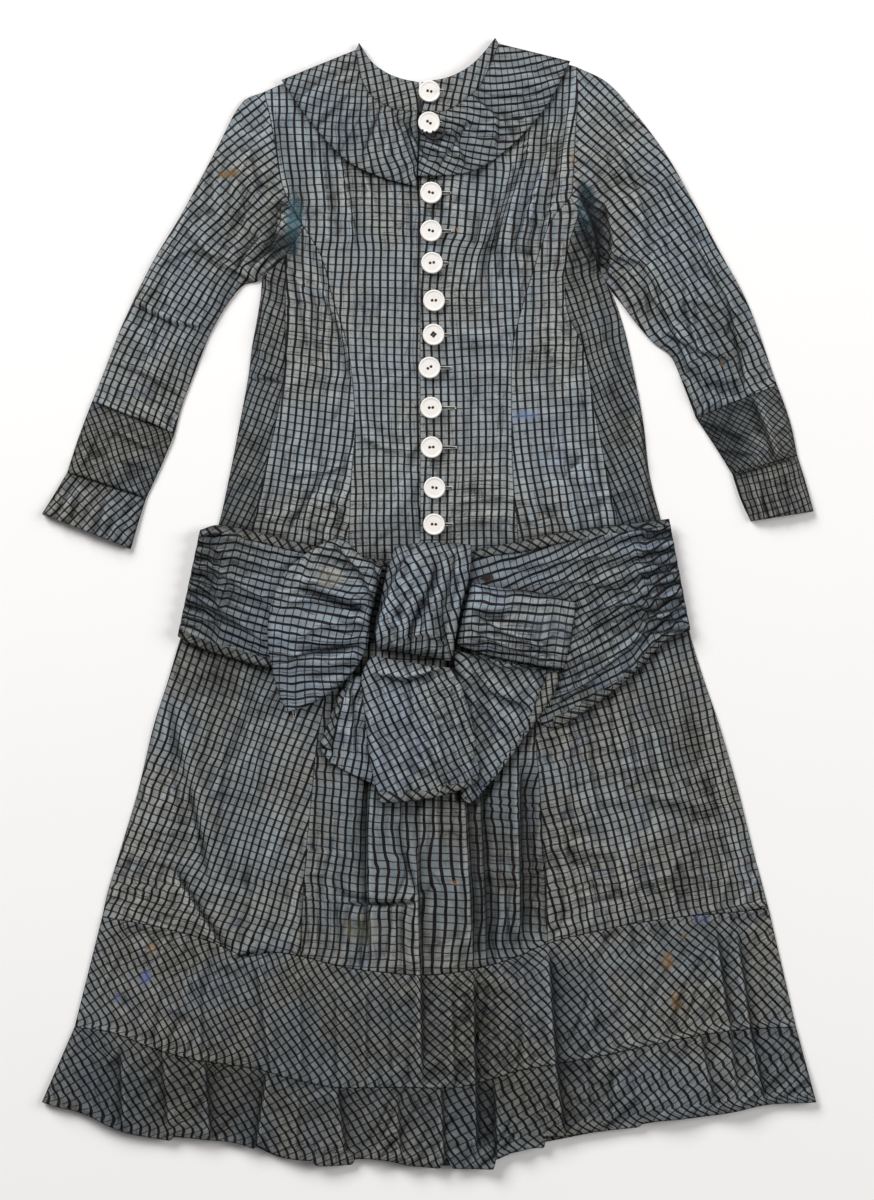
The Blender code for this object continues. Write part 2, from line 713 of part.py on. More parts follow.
# Sash and bow
def build_binding(name, edge, inner, top):
    """A bias strip along an edge, on the cloth that it binds."""
    step = inner - edge
    length = np.linalg.norm(step, axis=1, keepdims=True)
    grid = np.stack([edge, edge + step / length * BINDING_WIDTH], axis=1)
    slab(name, grid, np.repeat(top[:, None], 2, axis=1) + GAP, finish=COTTON)


def build_sash(side, rows, low_rows):
    top_edge, low_edge = (smooth(points(rows, name), 2) for name in ("top", "low"))
    grid = ruled(top_edge, low_edge, evenly(SASH_COLUMNS))
    x, y = grid[..., 0], grid[..., 1]
    gather = along(rows.gather, 2) * zigzag(SASH_COLUMNS + 1, SASH_GATHER)[None]
    bottom = over(x, y) + ridges(SASH_FOLDS, x, y) + gather
    slab("sash_" + side, grid, bottom)
    top = bottom + WALL
    build_binding(f"sash_{side}_upper_binding", grid[:, 0], grid[:, 1], top[:, :3].max(1))
    low = slice(0, low_rows)
    build_binding(f"sash_{side}_lower_binding", grid[low, -1], grid[low, -2], top[low, -3:].max(1))


def build_bow():
    for name, rows, across, rounded in (
        ("bow_left_loop", LOOP_LEFT, 8, True),
        ("bow_right_loop", LOOP_RIGHT, 8, True),
        ("bow_knot", KNOT, 8, True),
        ("bow_tail_centre", TAIL_CENTRE, 8, False),
        ("bow_tail_right", TAIL_RIGHT, 6, False),
        ("bow_tail_left", TAIL_LEFT, 4, False),
    ):
        grid = inset(through(rows, 2, across), 0.3)
        bottom = over(grid[..., 0], grid[..., 1]) + along(rows.lift, 2)
        thick = along(rows.thick, 2)
        if rounded:
            round_off = (4 * evenly(across) * (1 - evenly(across)))[None] ** 0.6
            crease = zigzag(across + 1, BOW_CREASE)[None] * (1 - evenly(len(grid) - 1))[:, None]
            thick = EDGE_THICK + (thick - EDGE_THICK + crease) * round_off
        slab(name, grid, bottom, np.maximum(thick, WALL), RIBBON)
        top = bottom + thick
        if name == "bow_tail_right":
            build_binding(name + "_binding", grid[:-1, -1], grid[:-1, -2], top[:-1, -3:].max(1))
        elif name == "bow_tail_left":
            build_binding(name + "_binding", grid[1:-2, 0], grid[1:-2, 1], top[1:-2, :3].max(1))
        elif name == "bow_tail_centre":
            build_binding(name + "_binding", grid[-1], grid[-2], top[-3:].max(0))


def build_buttons():
    for number, (x, y, under) in enumerate(zip(BUTTONS.x, BUTTONS.y, BUTTONS.under), 1):
        turn = 2 * np.pi * evenly(BUTTON_SIDES)
        reach = np.array([[0], [0.5], [1.0]]) * BUTTON_ACROSS / 2
        around_x, around_y = x + reach * np.cos(turn), y + reach * np.sin(turn)
        seat = over(around_x, around_y).max() + SEAT_LIFTS[under]
        button(f"button_{number:02d}", x, y, seat)


clear_scene()
bpy.context.scene.collection.children.link(bpy.data.collections.new("Dress"))
for piece_side, yoke_rows, bodice_rows, sleeve_rows, cuff_rows in (
    ("left", YOKE_LEFT, BODICE_LEFT, SLEEVE_LEFT, CUFF_LEFT),
    ("right", YOKE_RIGHT, BODICE_RIGHT, SLEEVE_RIGHT, CUFF_RIGHT),
):
    build_bodice_side(piece_side, yoke_rows, bodice_rows, piece_side == "right")
    build_sleeve(piece_side, yoke_rows, bodice_rows, sleeve_rows, cuff_rows)
    build_neck(piece_side, yoke_rows, bodice_rows)
build_bodice_back()
build_hidden_neck()
build_skirt()
build_band_and_ruffle()
build_sash("left", SASH_LEFT, 9)
build_sash("right", SASH_RIGHT, 9)
build_bow()
build_buttons()
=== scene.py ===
# A child's checked cotton dress laid flat on a table: thin cloth with its folds, buttons, thread and wear.
# Lengths are in millimetres unless a line says metres: x to the right, y to the neck, z up from the table.
import bpy
import numpy as np
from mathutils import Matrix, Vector


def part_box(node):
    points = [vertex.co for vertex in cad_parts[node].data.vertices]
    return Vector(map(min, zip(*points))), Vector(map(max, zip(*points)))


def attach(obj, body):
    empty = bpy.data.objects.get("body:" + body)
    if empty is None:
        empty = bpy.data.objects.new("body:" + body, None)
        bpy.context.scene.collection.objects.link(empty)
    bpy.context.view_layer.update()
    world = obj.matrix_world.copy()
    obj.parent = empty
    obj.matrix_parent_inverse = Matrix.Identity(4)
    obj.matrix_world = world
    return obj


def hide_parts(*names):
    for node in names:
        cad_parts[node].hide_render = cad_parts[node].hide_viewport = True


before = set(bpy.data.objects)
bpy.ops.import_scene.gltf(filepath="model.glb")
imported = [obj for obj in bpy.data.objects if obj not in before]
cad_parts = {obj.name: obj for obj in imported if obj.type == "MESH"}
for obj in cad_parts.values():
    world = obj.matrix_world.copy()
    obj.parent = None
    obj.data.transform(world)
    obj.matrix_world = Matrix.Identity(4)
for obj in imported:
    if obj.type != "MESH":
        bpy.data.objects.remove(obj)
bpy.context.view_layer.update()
mm = 0.001

cloth = {
    "wall": 1.2,  # the solid's wall
    "gap": 0.3,  # air between layers
    "thick": 0.7,  # the cloth that shows
    "seat": 0.4,  # its underside over the solid's underside
    "cell": 2.4,  # size of a mesh cell
    "hiddenCell": 6.0,
    "floor": 0.1,  # the lowest that any cloth lies
    "hiddenLow": 0.12,  # the lowest that the hidden side lies
    "frontLow": 1.3,  # the lowest that the upper layer lies over the hidden side
    "hiddenSeat": 0.15,
}
layers = {
    "puff": 3.4,  # how far the upper layer stands above the lower one
    "roll": 16.0,  # how far in from a folded edge it takes to rise
    "lap": 1.8,  # the buttonhole side over the button side
    "lapFlat": 20.0,
    "lapEnd": 40.0,
    "lapEdge": -8.0,
    "roundDown": (0.9, 2.5),  # how far a folded edge rolls down, and over what width
    "near": 5.0,  # how far round a point an upper piece looks for what lies below
}
hiddenCollar = {"middle": (-2, 440), "size": (118, 122), "flat": 1.1, "end": 1.75, "lift": 1.5}


# Lines and grids
def curve(line, at):  # the smooth curve through a line's points, at these counts of points
    line = np.asarray(line, float)
    padded = np.vstack([2 * line[0] - line[1], line, 2 * line[-1] - line[-2]])
    at = np.clip(np.asarray(at, float), 0, len(line) - 1)
    first = np.minimum(at.astype(int), len(line) - 2)
    t = (at - first)[:, None]
    before, start, end, after = (padded[first + i] for i in range(4))
    turn = 2 * start + (end - before) * t + (2 * before - 5 * start + 4 * end - after) * t**2
    return (turn + (3 * start - before - 3 * end + after) * t**3) / 2


def steps(line):  # the lengths between a line's points
    return np.linalg.norm(np.diff(np.asarray(line, float), axis=0), axis=1)


def lengthOf(line):
    return steps(line).sum()


def split(grid):  # the places across and down of a grid
    return grid[..., 0], grid[..., 1]


def countsAlong(line, cell):  # counts of points, a cell apart along the line and closer at both ends
    run = np.append(0, steps(line).cumsum())
    return np.interp(spread(run[-1], cell) * run[-1], run, np.arange(len(line)))


def spread(length, cell):  # fractions of a length, closer together at both ends
    rim = np.array([0, 0.7, 1.8]) / length
    inner = np.linspace(0, 1, max(int(length / cell), 3) + 1)
    inner = inner[(inner > rim[-1] * 1.4) & (inner < 1 - rim[-1] * 1.4)]
    return np.concatenate([rim, inner, 1 - rim[::-1]])


def evenAlong(line, fractions):  # points at these fractions of the line's length
    line = np.asarray(line, float)
    run = np.append(0, steps(line).cumsum())
    return np.stack([np.interp(np.asarray(fractions) * run[-1], run, line[:, k]) for k in (0, 1)], 1)


def ruled(left, right, fractions):  # a row from each point on the left to its match on the right
    across = np.asarray(fractions)[None, :, None]
    return left[:, None] * (1 - across) + right[:, None] * across


def bend(grid, edge, row, counts, reach):  # gives an end row its own curve, straightening over the next rows
    share = np.clip(1 - np.abs(counts - counts[row]) / reach, 0, 1) ** 1.3
    return grid + share[:, None, None] * (edge - grid[row])[None]


def smoothStep(low, high, value):
    t = np.clip((value - low) / (high - low), 0, 1)
    return t * t * (3 - 2 * t)


def wave(x, y, seed):  # smooth uneven noise, about -1 to 1, with bumps one unit wide
    lattice = np.random.RandomState(seed).uniform(-1.25, 1.25, (97, 89))
    x, y = x + 31.7 + seed % 7, y + 40.3 + seed % 5
    i, j = np.floor(x).astype(int), np.floor(y).astype(int)
    p, q = smoothStep(0, 1, x - i), smoothStep(0, 1, y - j)
    a, b, c, d = (lattice[(i + k) % 97, (j + m) % 89] for k in (0, 1) for m in (0, 1))
    return (a * (1 - q) + b * q) * (1 - p) + (c * (1 - q) + d * q) * p


def drift(x, y, size, seed):
    return wave(x / size, y / size, seed)


def creaseLines(x, y, wide, long, seed):  # sharp ridges and troughs that run along y
    n = wave(x / wide, y / long, seed) + 0.35 * wave(x / wide * 2.3, y / long * 2.1, seed + 9)
    which = np.tanh(3 * wave(x / wide / 2.6, y / long / 1.3, seed + 5))
    return (1 - np.minimum(np.abs(n) / 0.42, 1)) * which + 0.45 * n


# The dress's lines, as in its solids
yokeLeft = {
    "arm": [(-132, 409), (-126, 383), (-122, 360), (-118, 336), (-110, 317)],
    "neck": [(-59, 442), (-53, 416), (-42, 402), (-26, 394), (-8, 390)],
    "band": [(-56, 448), (-46, 433), (-34, 424), (-22, 419), (-8, 416)],
    "collar": [(-118, 418), (-95, 384), (-67, 354), (-39, 340), (-10, 332)],
}
yokeRight = {
    "arm": [(118, 429), (119, 403), (117, 375), (116, 354), (115, 338)],
    "neck": [(56, 447), (42, 415), (30, 403), (14, 393), (-6, 390)],
    "band": [(53, 452), (42, 438), (31, 428), (15, 420), (-6, 416)],
    "collar": [(113, 433), (95, 398), (66, 365), (33, 344), (-9, 340)],
}
hiddenNeck = {
    "neck": [(-59, 442), (-49, 405), (-30, 380), (-1, 370), (28, 381), (46, 408), (56, 447)],
    "band": [(-56, 448), (-41, 420), (-22, 400), (-1, 392), (20, 402), (39, 423), (53, 452)],
    "collar": [(-117, 416), (-98, 378), (-62, 340), (-1, 322), (57, 344), (97, 392), (111, 432)],
}
centreDown = 362, 330, 290, 242, 194, 142, 101, 56, 10
bodiceLeft = {
    "edge": [(-132, 262), (-135, 244), (-138, 226), (-142, 204), (-145, 180), (-152, 142), (-160, 101),
        (-170, 58), (-188, 10)],
    "side": [(-115, 277), (-115, 256), (-115, 232), (-115, 204), (-116, 180), (-123, 142), (-132, 101),
        (-142, 58), (-152, 10)],
    "shaped": [(-100, 300), (-86, 276), (-77, 243), (-67, 212), (-62, 184), (-59, 142), (-62, 101),
        (-64, 56), (-66, 10)],
    "centre": [(7, y) for y in centreDown],
}
bodiceRight = {
    "edge": [(139, 262), (148, 244), (155, 224), (160, 204), (165, 180), (172, 142), (177, 101), (188, 58),
        (202, 10)],
    "side": [(121, 312), (113, 290), (109, 262), (111, 232), (124, 202), (132, 156), (142, 106), (153, 58),
        (164, 10)],
    "shaped": [(113, 324), (97, 304), (84, 267), (74, 234), (67, 202), (66, 156), (67, 106), (71, 56),
        (74, 10)],
    "centre": [(-7, y) for y in centreDown],
}
sleeveLeft = {
    "out": [(-151, 399), (-171, 362), (-199, 310), (-223, 270), (-246, 222), (-260, 186), (-270, 161)],
    "in": [(-138, 257), (-149, 254), (-161, 240), (-175, 216), (-188, 184), (-198, 158), (-204, 135)],
}
sleeveRight = {
    "out": [(142, 417), (162, 396), (188, 362), (211, 322), (234, 279), (256, 238), (279, 174)],
    "in": [(146, 250), (154, 240), (166, 224), (180, 208), (194, 197), (204, 174), (214, 148)],
}
cuffLeft = {
    "out": [(-270, 161), (-281, 132), (-290, 104), (-300, 87), (-310, 71)],
    "in": [(-204, 135), (-215, 109), (-227, 83), (-233, 64), (-239, 43)],
}
cuffRight = {
    "out": [(279, 174), (289, 146), (295, 118), (302, 95), (308, 73)],
    "in": [(214, 148), (230, 124), (243, 103), (250, 82), (258, 65)],
}
skirtLines = {
    "edgeLeft": [(-188, 9.5), (-200, -31), (-209, -62), (-221, -100), (-233, -150), (-246, -194),
        (-257, -230), (-262, -252)],
    "left": [(-73, 9.5), (-78, -34), (-83, -74), (-90, -116), (-94, -156), (-98, -196), (-101, -240),
        (-103, -283)],
    "right": [(76, 9.5), (80, -34), (83, -74), (86, -114), (89, -156), (91, -196), (94, -236), (95, -273)],
    "edgeRight": [(202, 9.5), (209, -24), (217, -52), (233, -100), (247, -148), (258, -192), (267, -226),
        (272, -245)],
}
hemLines = {
    "top": [(-262, -252), (-231, -257), (-199, -264), (-171, -273), (-147, -283), (-126, -280), (-103, -283),
        (-67, -292), (-35, -296), (-6, -298), (21, -296), (45, -291), (69, -284), (95, -273), (129, -264),
        (164, -257), (207, -251), (245, -248), (272, -245)],
    "low": [(-284, -340), (-254, -344), (-223, -356), (-191, -365), (-166, -369), (-137, -373), (-110, -381),
        (-75, -388), (-41, -388), (-7, -388), (21, -388), (47, -382), (73, -374), (103, -369), (137, -363),
        (173, -355), (217, -346), (258, -341), (294, -340)],
    "hem": [(-310, -400), (-274, -410), (-244, -423), (-211, -428), (-179, -430), (-147, -433), (-118, -445),
        (-83, -448), (-46, -446), (-9, -451), (21, -451), (50, -448), (79, -436), (111, -429), (147, -422),
        (185, -416), (231, -410), (270, -402), (310, -400)],
}
sashLeft = {
    "top": [(-183, 58), (-168, 62), (-141, 57), (-113, 50), (-83, 43), (-51, 36), (-26, 32)],
    "low": [(-201, -27), (-184, -36), (-160, -44), (-128, -52), (-95, -52), (-62, -38), (-30, -24)],
    "gather": [1, 0.7, 0.2, 0, 0, 0, 0],
}
sashRight = {
    "top": [(192, 67), (170, 64), (140, 60), (107, 56), (74, 49), (52, 45), (33, 40), (22, 34)],
    "low": [(209, -22), (188, -32), (164, -57), (134, -81), (99, -100), (73, -82), (47, -56), (26, -30)],
    "gather": [1, 1, 0.3, 0, 0, 0, 0, 0],
}
loopLeft = {
    "one": [(-37, 29), (-54, 37), (-70, 51), (-91, 44), (-112, 28)],
    "mid": [(-44, -1), (-58, -3), (-74, -3), (-97, -8), (-129, -22)],
    "two": [(-48, -30), (-58, -52), (-78, -72), (-98, -83), (-114, -88)],
    "lift": 3,
    "thick": [7, 9, 10, 8, 3],
}
loopRight = {
    "one": [(34, 16), (57, 12), (82, 9), (102, 4), (117, 0)],
    "mid": [(28, -6), (50, -14), (78, -19), (98, -22), (114, -27)],
    "two": [(22, -34), (46, -42), (73, -48), (93, -52), (107, -54)],
    "lift": 1.7,
    "thick": [6, 7, 7, 5, 3],
}
knotLines = {
    "one": [(-27, 45), (-34, 24), (-39, 0), (-44, -23), (-41, -37)],
    "mid": [(2, 48), (0, 24), (-6, -1), (-11, -25), (-10, -42)],
    "two": [(34, 46), (33, 24), (26, -3), (22, -25), (18, -47)],
    "lift": 3.4,
    "thick": [3, 9, 13, 13, 8],
}
tailCentre = {
    "one": [(-46, -42), (-54, -60), (-51, -94), (-47, -128), (-39, -160)],
    "mid": [(-14, -48), (-14, -65), (-9, -96), (-3, -129), (1, -156)],
    "two": [(19, -52), (28, -70), (35, -96), (40, -128), (39, -144)],
    "lift": [4.4, 4.4, 4.2, 3.8, 3.4],
    "thick": 1.2,
}
tailRight = {
    "one": [(20, -38), (21, -74), (23, -106), (25, -134), (26, -156)],
    "mid": [(63, -48), (57, -79), (52, -108), (42, -136), (29, -159)],
    "two": [(106, -57), (97, -78), (79, -104), (59, -132), (34, -161)],
    "lift": [2.4, 2.4, 1.6, 0.8, 0.5],
    "thick": 1.2,
}
tailLeft = {
    "one": [(-63, -56), (-74, -78), (-82, -100), (-87, -115), (-79, -128)],
    "mid": [(-55, -59), (-60, -80), (-63, -102), (-63, -120), (-62, -137)],
    "two": [(-47, -62), (-44, -81), (-42, -104), (-41, -124), (-41, -147)],
    "lift": 0.5,
    "thick": 1.2,
}
buttons = {
    "at": [(0.4, 408.4), (0, 382.8), (1.6, 327.2), (1.6, 296.8), (2.4, 271.2), (4, 241.2), (3.6, 214),
        (0.4, 187.6), (1.6, 155.6), (2, 124), (4.4, 91.6), (4, 62.4)],
}
bodyFolds = [  # from, to, width, height
    (-207, -74, -179, -206, 9, 2.6), (-179, -206, -158, -278, 8, 2.4), (-209, -208, -161, -278, 8, 1.6),
    (-134, -78, -134, -254, 14, 1.4), (-103, 82, -110, 150, 9, 1.2), (102, 78, 105, 138, 8, 1.4),
    (60, 362, 69, 242, 8, 1.8), (74, 346, 57, 274, 8, 1.2), (9, 182, 73, 184, 8, 0.9),
    (9, 96, 66, 101, 8, 0.9), (-67, 96, -103, 106, 7, 0.9), (127, 242, 140, 162, 9, 1.6),
    (215, -70, 253, -222, 9, 2.4), (191, -62, 221, -222, 10, 1.8), (137, -110, 162, -238, 14, 1.2),
    (-143, 362, -191, 274, 10, 2), (-154, 310, -215, 218, 10, 1.8), (-195, 226, -239, 162, 9, 1.6),
    (146, 378, 201, 298, 10, 2), (151, 310, 217, 226, 9, 2.4), (209, 266, 253, 194, 9, 2),
    (188, 218, 230, 170, 8, 1.6),
]
skirtPleats = [  # from, to, width, height
    (-46, -78, -50, -282, 14, 2.2), (-4, -78, -7, -282, 14, 2.6), (33, -78, 36, -282, 12, 2.4),
    (50, -78, 55, -282, 9, 2), (66, -78, 74, -282, 9, 1.8),
]
sashFolds = [  # from, to, width, height
    (185, 46, 105, 37, 7, 2.4), (181, 29, 129, 18, 7, 2.6), (181, 10, 134, -18, 8, 2.8),
    (182, -8, 137, -56, 8, 3), (169, -30, 138, -70, 7, 2.2), (-172, 44, -134, 34, 8, 2),
    (-174, 22, -138, 8, 7, 2.6), (-177, 8, -138, -12, 7, 2.6), (-183, -3, -140, -25, 7, 2.4),
    (-190, -16, -143, -36, 7, 2),
]


# Creases of the cloth as it lies, from the photograph
bodiceCreases = [  # path, width, height and cloth taken up
    ([(90, 399), (69, 352), (59, 322), (41, 282), (30, 242)], 5, 1.6, 3.5),
    ([(79, 362), (70, 330), (57, 302), (46, 282), (39, 242)], 4, -1.2, 3),
    ([(54, 350), (49, 314), (26, 272)], 5, -1, 2.5), ([(88, 80), (111, 58)], 3, -1.6, 3),
    ([(95, 109), (114, 96), (124, 87)], 4, -1.2, 2.5), ([(16, 217), (41, 214), (66, 216)], 4, 0.9, 1.2),
    ([(18, 100), (45, 103), (66, 105)], 3, -0.9, 1.2), ([(14, 65), (41, 68), (67, 72)], 3, 0.8, 0.8),
    ([(146, 222), (135, 200)], 4, -1, 2), ([(121, 210), (111, 173)], 4, -0.9, 2),
    ([(117, 242), (137, 178), (146, 122)], 7, 1.2, 3),
    ([(-146, 184), (-129, 180), (-113, 177)], 3, -1.4, 1.6),
    ([(-102, 296), (-89, 272), (-73, 227), (-64, 190)], 4, -1.3, 4),
    ([(-98, 267), (-90, 226), (-90, 184)], 4, -1.2, 3), ([(-51, 153), (-38, 135), (-12, 124)], 4, -0.9, 1.6),
    ([(-114, 56), (-101, 78), (-80, 112)], 3, -1.8, 3.6),
    ([(-95, 175), (-75, 172), (-58, 169)], 4, -0.9, 1.2), ([(-120, 149), (-142, 128)], 3, 0.8, 1.4),
    ([(-117, 242), (-122, 218), (-114, 184)], 5, 1, 2.4),
    ([(-103, 362), (-101, 330), (-105, 300)], 6, -0.8, 2),
    ([(-74, 362), (-67, 330), (-62, 298)], 8, 0.8, 1.6), ([(-55, 106), (-46, 82), (-50, 54)], 8, -0.8, 1.6),
    ([(-27, 118), (-22, 90), (-26, 58)], 8, 0.8, 1.4), ([(-7, 106), (-11, 82), (-6, 50)], 4, -0.7, 1.2),
    ([(-134, 106), (-115, 94), (-99, 82)], 5, 0.7, 1.2), ([(105, 378), (98, 346), (102, 310)], 6, -0.8, 1.6),
]
sleeveCreases = [  # path, width, height and cloth taken up
    ([(137, 340), (159, 333), (185, 336)], 9, -1.4, 2), ([(181, 370), (217, 310), (253, 242)], 8, 1.2, 3.6),
    ([(209, 310), (226, 272), (239, 242)], 8, -1, 2.4), ([(177, 224), (198, 227), (222, 229)], 6, -1.5, 2.4),
    ([(195, 192), (217, 178), (237, 169), (254, 165)], 5, -2, 3),
    ([(204, 202), (226, 189), (247, 184)], 6, 1.2, 1.6),
    ([(146, 298), (169, 266), (186, 228)], 10, 1.2, 2.6), ([(169, 310), (191, 272), (209, 238)], 10, -1, 2),
    ([(239, 244), (243, 228), (238, 215), (250, 202), (249, 184), (255, 167)], 2.5, -1.6, 2.2),
    ([(249, 242), (257, 218), (262, 189)], 5, 1, 1.6),
    ([(-115, 310), (-134, 290), (-159, 272), (-186, 250)], 9, 1.4, 3),
    ([(-134, 318), (-158, 296), (-178, 282)], 8, -1.2, 2.4),
    ([(-151, 262), (-174, 242), (-198, 206), (-210, 170)], 8, 1.2, 2.4),
    ([(-163, 282), (-191, 256), (-215, 218), (-230, 184)], 9, -1, 2.4),
    ([(-142, 242), (-153, 218), (-179, 200)], 6, -1.2, 2),
    ([(-187, 318), (-211, 272), (-236, 218)], 8, 0.9, 2.8),
    ([(-250, 159), (-231, 146), (-212, 133)], 3, -1.6, 2),
    ([(-233, 166), (-222, 154), (-207, 148)], 5, 1.2, 1.6), ([(-260, 175), (-254, 159)], 4, -1, 1.4),
    ([(266, 162), (270, 140), (278, 112)], 2.5, 1.6, 1.6),
    ([(217, 154), (234, 130), (253, 106)], 5, -1.2, 1.4),
    ([(-276, 146), (-282, 122), (-287, 106)], 4, -1, 1.4),
    ([(-255, 130), (-249, 106), (-244, 90)], 5, 1, 1.4),
]
skirtCreases = [  # path, width, height and cloth taken up
    ([(-208, -69), (-201, -117), (-191, -153), (-182, -188), (-173, -238)], 2.5, -2, 4),
    ([(-202, -70), (-194, -117), (-184, -153), (-177, -188), (-168, -235)], 4, 1.6, 1.6),
    ([(-208, -208), (-190, -236), (-160, -280)], 2, -1.6, 2.6),
    ([(-134, -52), (-149, -95), (-162, -146)], 7, -1.4, 4),
    ([(-117, -59), (-134, -102), (-143, -158), (-149, -250)], 10, -1.6, 4.6),
    ([(-103, -78), (-115, -142), (-126, -222), (-134, -278)], 9, 1.2, 2),
    ([(-172, -94), (-179, -158), (-166, -222)], 12, 1, 2),
    ([(-223, -110), (-234, -166), (-247, -238)], 12, -0.8, 2),
    ([(-158, -288), (-143, -280), (-114, -284)], 3, -1.4, 2),
    ([(-79, -228), (-63, -236), (-38, -242), (-8, -238)], 3, -2.2, 3.2),
    ([(-50, -88), (-48, -132), (-52, -198), (-58, -232)], 5, -2, 4.6),
    ([(-26, -170), (-19, -212), (-9, -236)], 3.5, -1.8, 3.6),
    ([(-79, -232), (-74, -262), (-72, -290)], 6, -1, 3.4),
    ([(-26, -244), (-24, -266), (-22, -290)], 6, -1.2, 3.4),
    ([(-68, -126), (-74, -182), (-71, -225)], 9, 1, 2), ([(61, -166), (57, -222), (52, -290)], 4, -1.4, 3),
    ([(83, -134), (81, -198), (86, -262)], 4, -1.2, 2.4),
    ([(198, -82), (209, -130), (226, -184), (246, -258)], 12, -2, 6),
    ([(186, -30), (194, -78), (201, -126)], 7, 1.2, 2.4),
    ([(222, -110), (234, -158), (250, -222), (258, -258)], 6, 1.6, 3),
    ([(173, -149), (191, -158), (226, -160)], 4, 1.8, 1.6),
    ([(169, -160), (197, -168), (241, -176)], 6, -2, 2.2),
    ([(109, -184), (122, -185), (136, -180)], 4, -1.2, 1.4),
    ([(113, -158), (137, -155), (169, -158)], 6, 0.9, 1),
    ([(118, -190), (129, -222), (135, -258)], 9, -1.2, 3),
    ([(169, -198), (157, -230), (146, -262)], 8, 0.9, 1.6),
    ([(117, -114), (121, -142), (114, -170)], 6, -0.8, 2),
    ([(262, -202), (256, -212), (262, -220)], 3, -1, 1),
]
